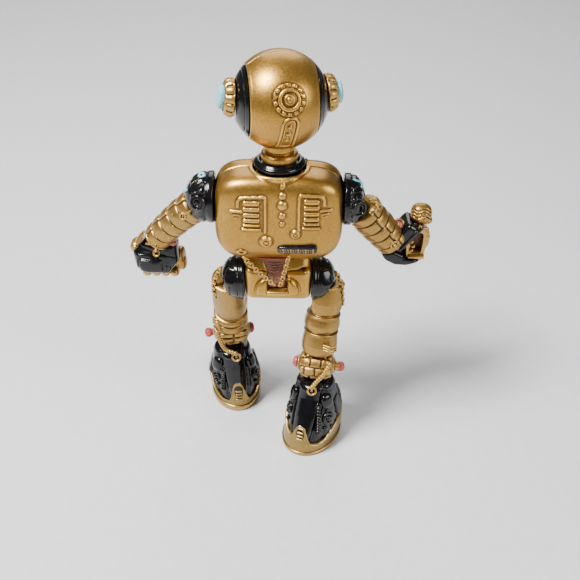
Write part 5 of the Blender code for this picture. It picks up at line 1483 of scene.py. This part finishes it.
def build_boot(side, foot):
    """The black boot: a smooth panel up the heel, with pods, ribbed hoses and valve rings on each flank."""
    height = np.linspace(SOLE_H - 1.2, BOOT_TOP_Z, 90)[:, None]
    degrees = (np.arange(170) * 360 / 170)[None, :]
    swing = swing_from(HEEL, degrees)
    share = (height - SOLE_H) / (BOOT_TOP_Z - SOLE_H)
    edge = 17 + 22 * share
    between = raised(np.abs(share - 0.5) - 0.44, 0.2)
    valley = -0.6 * np.exp(-(((np.abs(swing) - edge - 6) / 4.0) ** 2)) * between
    crown = 0.4 + 0.55 * np.clip(1 - (swing / edge) ** 2, 0, 1)
    panel = crown * raised((np.abs(swing) - edge) / 8, 0.5) * raised(np.abs(share - 0.55) - 0.45, 0.2)
    flank = 0.45 * raised((np.abs(np.abs(swing) - 84) - 30) / 8, 0.6) * between
    toe = swing_from(HEEL + 180, degrees)
    laced = raised(np.abs(toe) / 10 - 2.2, 0.6) * raised(np.abs(share - 0.6) - 0.3, 0.1)
    laces = 0.3 * pipe(((share * 7) % 1 - 0.5) * 2, 0.8) * laced
    top_rim = 0.35 * pipe((share - 0.95) * 18, 0.8)
    grid = foot.spot(degrees, height, valley + panel + flank + laces + top_rim)
    top = grid[-1]
    lid = [top * keep + top.mean(0) * (1 - keep) + (0, 0, 1.2 * (1 - keep))
           for keep in (0.94, 0.8, 0.6, 0.4, 0.2, 0.05)]
    grid = np.concatenate([grid, lid])
    knee_spot = KNEES[side]
    out = outward(foot.sign, LEGS[side]["knee_out"])
    away = grid - knee_spot
    radial = away - (away @ out)[..., None] * out
    far = np.linalg.norm(radial, axis=-1)
    push = np.clip(BARREL_R + 0.1 - far, 0, None)
    push = push * (grid[..., 2] < knee_spot[2])
    grid = grid + radial / np.maximum(far, 1e-6)[..., None] * push[..., None]
    boot = Casting().tube_grid(grid)

    outer = 0 if foot.sign > 0 else 180
    inner = 180 - outer
    lean = 1 if outer == 0 else -1
    for side_angle, direction in ((outer, lean), (inner, -lean)):
        angle = side_angle + direction * 34
        spot, way = foot.spot(angle, 16.6, 0.1), foot.out(angle)
        boot.pebble((2.1, 2.5, 1.3), spot, way, power=2.6, size=(48, 22))
        angle = side_angle + direction * 30
        spot, way = foot.spot(angle, 11.2, 0.3), foot.out(angle)
        boot.ring(spot, way, 1.55, 0.6, 40, 12, arc=0.8)
        boot.pebble((0.95, 0.95, 0.9), spot, way, power=2.4, size=(28, 14))
        for z, swing_in in ((7.9, 22), (8.4, 36), (8.0, 8)):
            angle = side_angle + direction * swing_in
            boot.bead(foot.spot(angle, z, 0.35), 0.6)
        front = side_angle - direction * 34
        boot.hose([foot.spot(front, 17, 0.2), foot.spot(front - direction * 6, 12, 0.5),
                   foot.spot(front, 7.5, 0.4)], 0.8)
        boot.pebble((1.9, 3.4, 0.8), foot.spot(side_angle - direction * 4, 13, 0.2),
                    foot.out(side_angle - direction * 4), power=4, size=(48, 18))
    hose_at = HEEL - 33 * lean
    line = [foot.spot(hose_at, 15.6, 0.3), foot.spot(hose_at - 2 * lean, 12.0, 0.55),
            foot.spot(hose_at - 5 * lean, 8.2, 0.4)]
    boot.hose(line, 0.78, 0.95, 0.34)
    boot.ring(line[0] + (0, 0, 0.4), foot.out(hose_at), 0.75, 0.3, 24, 8)
    boot.bead(line[-1], 0.9)
    piece(f"{side}_boot_cast", boot, BLACK, f"{side}_leg", "black_paint", f"{side}_boot")


def rim_height(swing, base, tab, lean):
    """The sole's wavy top edge: swing is 0 at the heel, in degrees."""
    tab = tab * np.exp(-((np.abs(swing) / 17.0) ** 3.4))
    flank = (9.7 - base) * ease((np.abs(swing) - 36) / 56) - 3.6 * ease((np.abs(swing) - 108) / 40)
    slope = lean * np.clip(swing / 40, -1, 1) * (np.abs(swing) < 140) * ease((140 - np.abs(swing)) / 60)
    return base - slope + tab + flank


def build_sole(side, foot):
    """The gold sole: a rimmed oval whose wall rises in waves, with a ribbed tab at the heel."""
    leg = LEGS[side]
    half_wide, half_long = SOLE_A + leg["sole_grow"][0], SOLE_B + leg["sole_grow"][1]
    place = foot.sole + (leg["sole_shift"], 0, 0)
    welt = leg["welt"]
    count = 240
    degrees = np.arange(count) * 360 / count
    swing = swing_from(HEEL, degrees)
    top = rim_height(swing, *leg["heel"])
    a = np.radians(degrees)
    rows = []
    for z, grow in ((0.0, -0.35), (0.12, -0.1), (0.45, 0.0), (welt, 0.05), (welt + 0.25, -0.1),
                    (welt + 0.4, -0.4), (welt + 0.6, -0.4)):
        rows.append(np.stack([(half_wide + grow) * np.cos(a), (half_long + grow) * np.sin(a), z + 0 * a],
                             axis=1))
    rows = [turn_z(row, foot.turn) + place for row in rows]
    wall_foot = welt + 0.6
    for share in np.linspace(0.0, 1.0, 22)[1:]:
        z = wall_foot + (top - wall_foot) * share
        t = ease((z - wall_foot) / 3.6)
        low = turn_z(np.stack([(half_wide - 0.4) * np.cos(a), (half_long - 0.4) * np.sin(a), z], axis=1),
                     foot.turn)
        low = low + place
        high = foot.spot(degrees, z, 0.85 - 0.2 * (share > 0.97))
        bead = 0.28 * math.exp(-(((share - 0.92) / 0.06) ** 2))
        wall = low * (1 - t)[:, None] + high * t[:, None]
        middle = foot.sole * (1, 1, 0)
        away = wall - middle
        away[:, 2] = 0
        rows.append(wall + away / np.linalg.norm(away, axis=1)[:, None] * bead)
    for drop, inset in ((0.0, 0.4), (0.5, -0.5), (1.6, -0.6)):
        z = np.maximum(top - drop, 1.0)
        rows.append(foot.spot(degrees, z, inset))
    grid = np.array(rows)
    last = grid[-1].copy()
    hub = foot.sole + np.array([0, 0, 2.0])
    grid = np.concatenate([grid, [(last * 0.5 + hub * 0.5)]])
    sole = Casting().tube_grid(grid)
    for i in range(4):
        spot = [foot.spot(HEEL + d, leg["heel"][0] + 1.0 + 1.15 * i, 1.0) for d in (-5.0, 0, 5.0)]
        sole.strand(spot, 0.36, 10)
    for sign in (1, -1):
        line = [foot.spot(HEEL + sign * 12, 3.2, 0.75), foot.spot(HEEL + sign * 9.5, 8.6, 0.75)]
        sole.strand(line, 0.16, 8)
    piece(f"{side}_sole_cast", sole, OLIVE, f"{side}_leg", "gold_paint", f"{side}_boot_sole")


KNEES = {side: centre(f"{side}_knee_barrel") for side in LEGS}


def build_leg(side):
    sign, knee = SIGN[side], KNEES[side]
    build_hip(side, sign)
    build_thigh(side, sign, knee)
    build_knee(side, sign, knee)
    foot = Foot(side, knee)
    build_boot(side, foot)
    build_sole(side, foot)


# ------------------------------------------------------------------------------------------------ stage

CAMERA = np.array([-3.4, 210.0, 197.0])
CAMERA_PITCH, CAMERA_ROLL, LENS, SENSOR = 35.0, 1.0, 54.0, 36.0
# From here the stage is in metres: each lamp's name, place, size and power, and the spot they shine at.
LAMPS = (("key", (0.3, 0.16, 0.6), 0.2, 12.5), ("fill", (-0.5, 0.3, 0.35), 0.28, 2.5),
         ("front", (0.0, -0.6, 0.5), 0.5, 2.4))
LAMP_TARGET = np.array([0, 0, 0.065])
SKY, SKY_STRENGTH = (0.86, 0.9, 1.0, 1), 0.15
FLOOR_NEAR, FLOOR_FAR, FLOOR_BEND, FLOOR_TOP, FLOOR_HALF = 1.6, -1.2, 0.5, 2.2, 3.0


def build_stage():
    """A pale floor that curves up far behind, three soft lamps and the camera."""
    floor_paint = Paint("studio_floor")
    grain = floor_paint.noise(3.0, 4)
    floor_paint.colour(floor_paint.ramp(grain, (0.3, (0.60, 0.60, 0.605)), (0.7, (0.64, 0.64, 0.645))))
    floor_paint.set(Roughness=0.55)
    mesh = bpy.data.meshes.new("studio_floor")
    bend = np.linspace(0, math.pi / 2, 16)
    curve = [(FLOOR_NEAR, 0)]
    curve += [(FLOOR_FAR - FLOOR_BEND * math.sin(t), FLOOR_BEND * (1 - math.cos(t))) for t in bend]
    curve.append((FLOOR_FAR - FLOOR_BEND, FLOOR_TOP))
    points = [(x, y, z) for y, z in curve for x in (-FLOOR_HALF, FLOOR_HALF)]
    faces = [(2 * i, 2 * i + 1, 2 * i + 3, 2 * i + 2) for i in range(len(curve) - 1)]
    mesh.from_pydata(points, [], faces)
    mesh.shade_smooth()
    mesh.materials.append(floor_paint.material)
    floor = add_object("studio_floor", mesh)

    world = bpy.data.worlds.new("studio")
    world.use_nodes = True
    background = world.node_tree.nodes["Background"]
    background.inputs["Color"].default_value = SKY
    background.inputs["Strength"].default_value = SKY_STRENGTH
    bpy.context.scene.world = world
    for name, at, size, power in LAMPS:
        lamp = bpy.data.lights.new(name, "AREA")
        lamp.size, lamp.energy = size, power
        holder = add_object(name, lamp)
        back = unit(np.array(at) - LAMP_TARGET)
        holder.matrix_world = matrix_of(back, at)

    view = bpy.data.cameras.new("photo_view")
    view.sensor_width, view.lens = SENSOR, LENS
    view.clip_start = 0.01
    camera = add_object("photo_view", view)
    pitch, roll = math.radians(CAMERA_PITCH), math.radians(CAMERA_ROLL)
    forward = np.array([0, -math.cos(pitch), -math.sin(pitch)])
    right = np.array([-1.0, 0, 0])
    up = np.cross(right, forward)
    right, up = math.cos(roll) * right + math.sin(roll) * up, math.cos(roll) * up - math.sin(roll) * right
    camera.matrix_world = matrix_rows(right, up, -forward, CAMERA * MM + AXIS)
    bpy.context.scene.camera = camera


def matrix_rows(x, y, z, at):
    """The matrix whose columns are x, y, z and at."""
    return Matrix([[x[i], y[i], z[i], at[i]] for i in range(3)] + [[0, 0, 0, 1]])


def matrix_of(back, at):
    """A lamp's place, shining against back."""
    x, y, z = basis(back)
    return matrix_rows(x, y, z, at)


build_head()
build_torso()
build_pelvis()
for which in SIGN:
    build_shoulder(which)
build_left_arm()
build_right_arm()
build_left_hand()
build_right_hand()
for which in LEGS:
    build_leg(which)
build_stage()

bpy.context.view_layer.update()
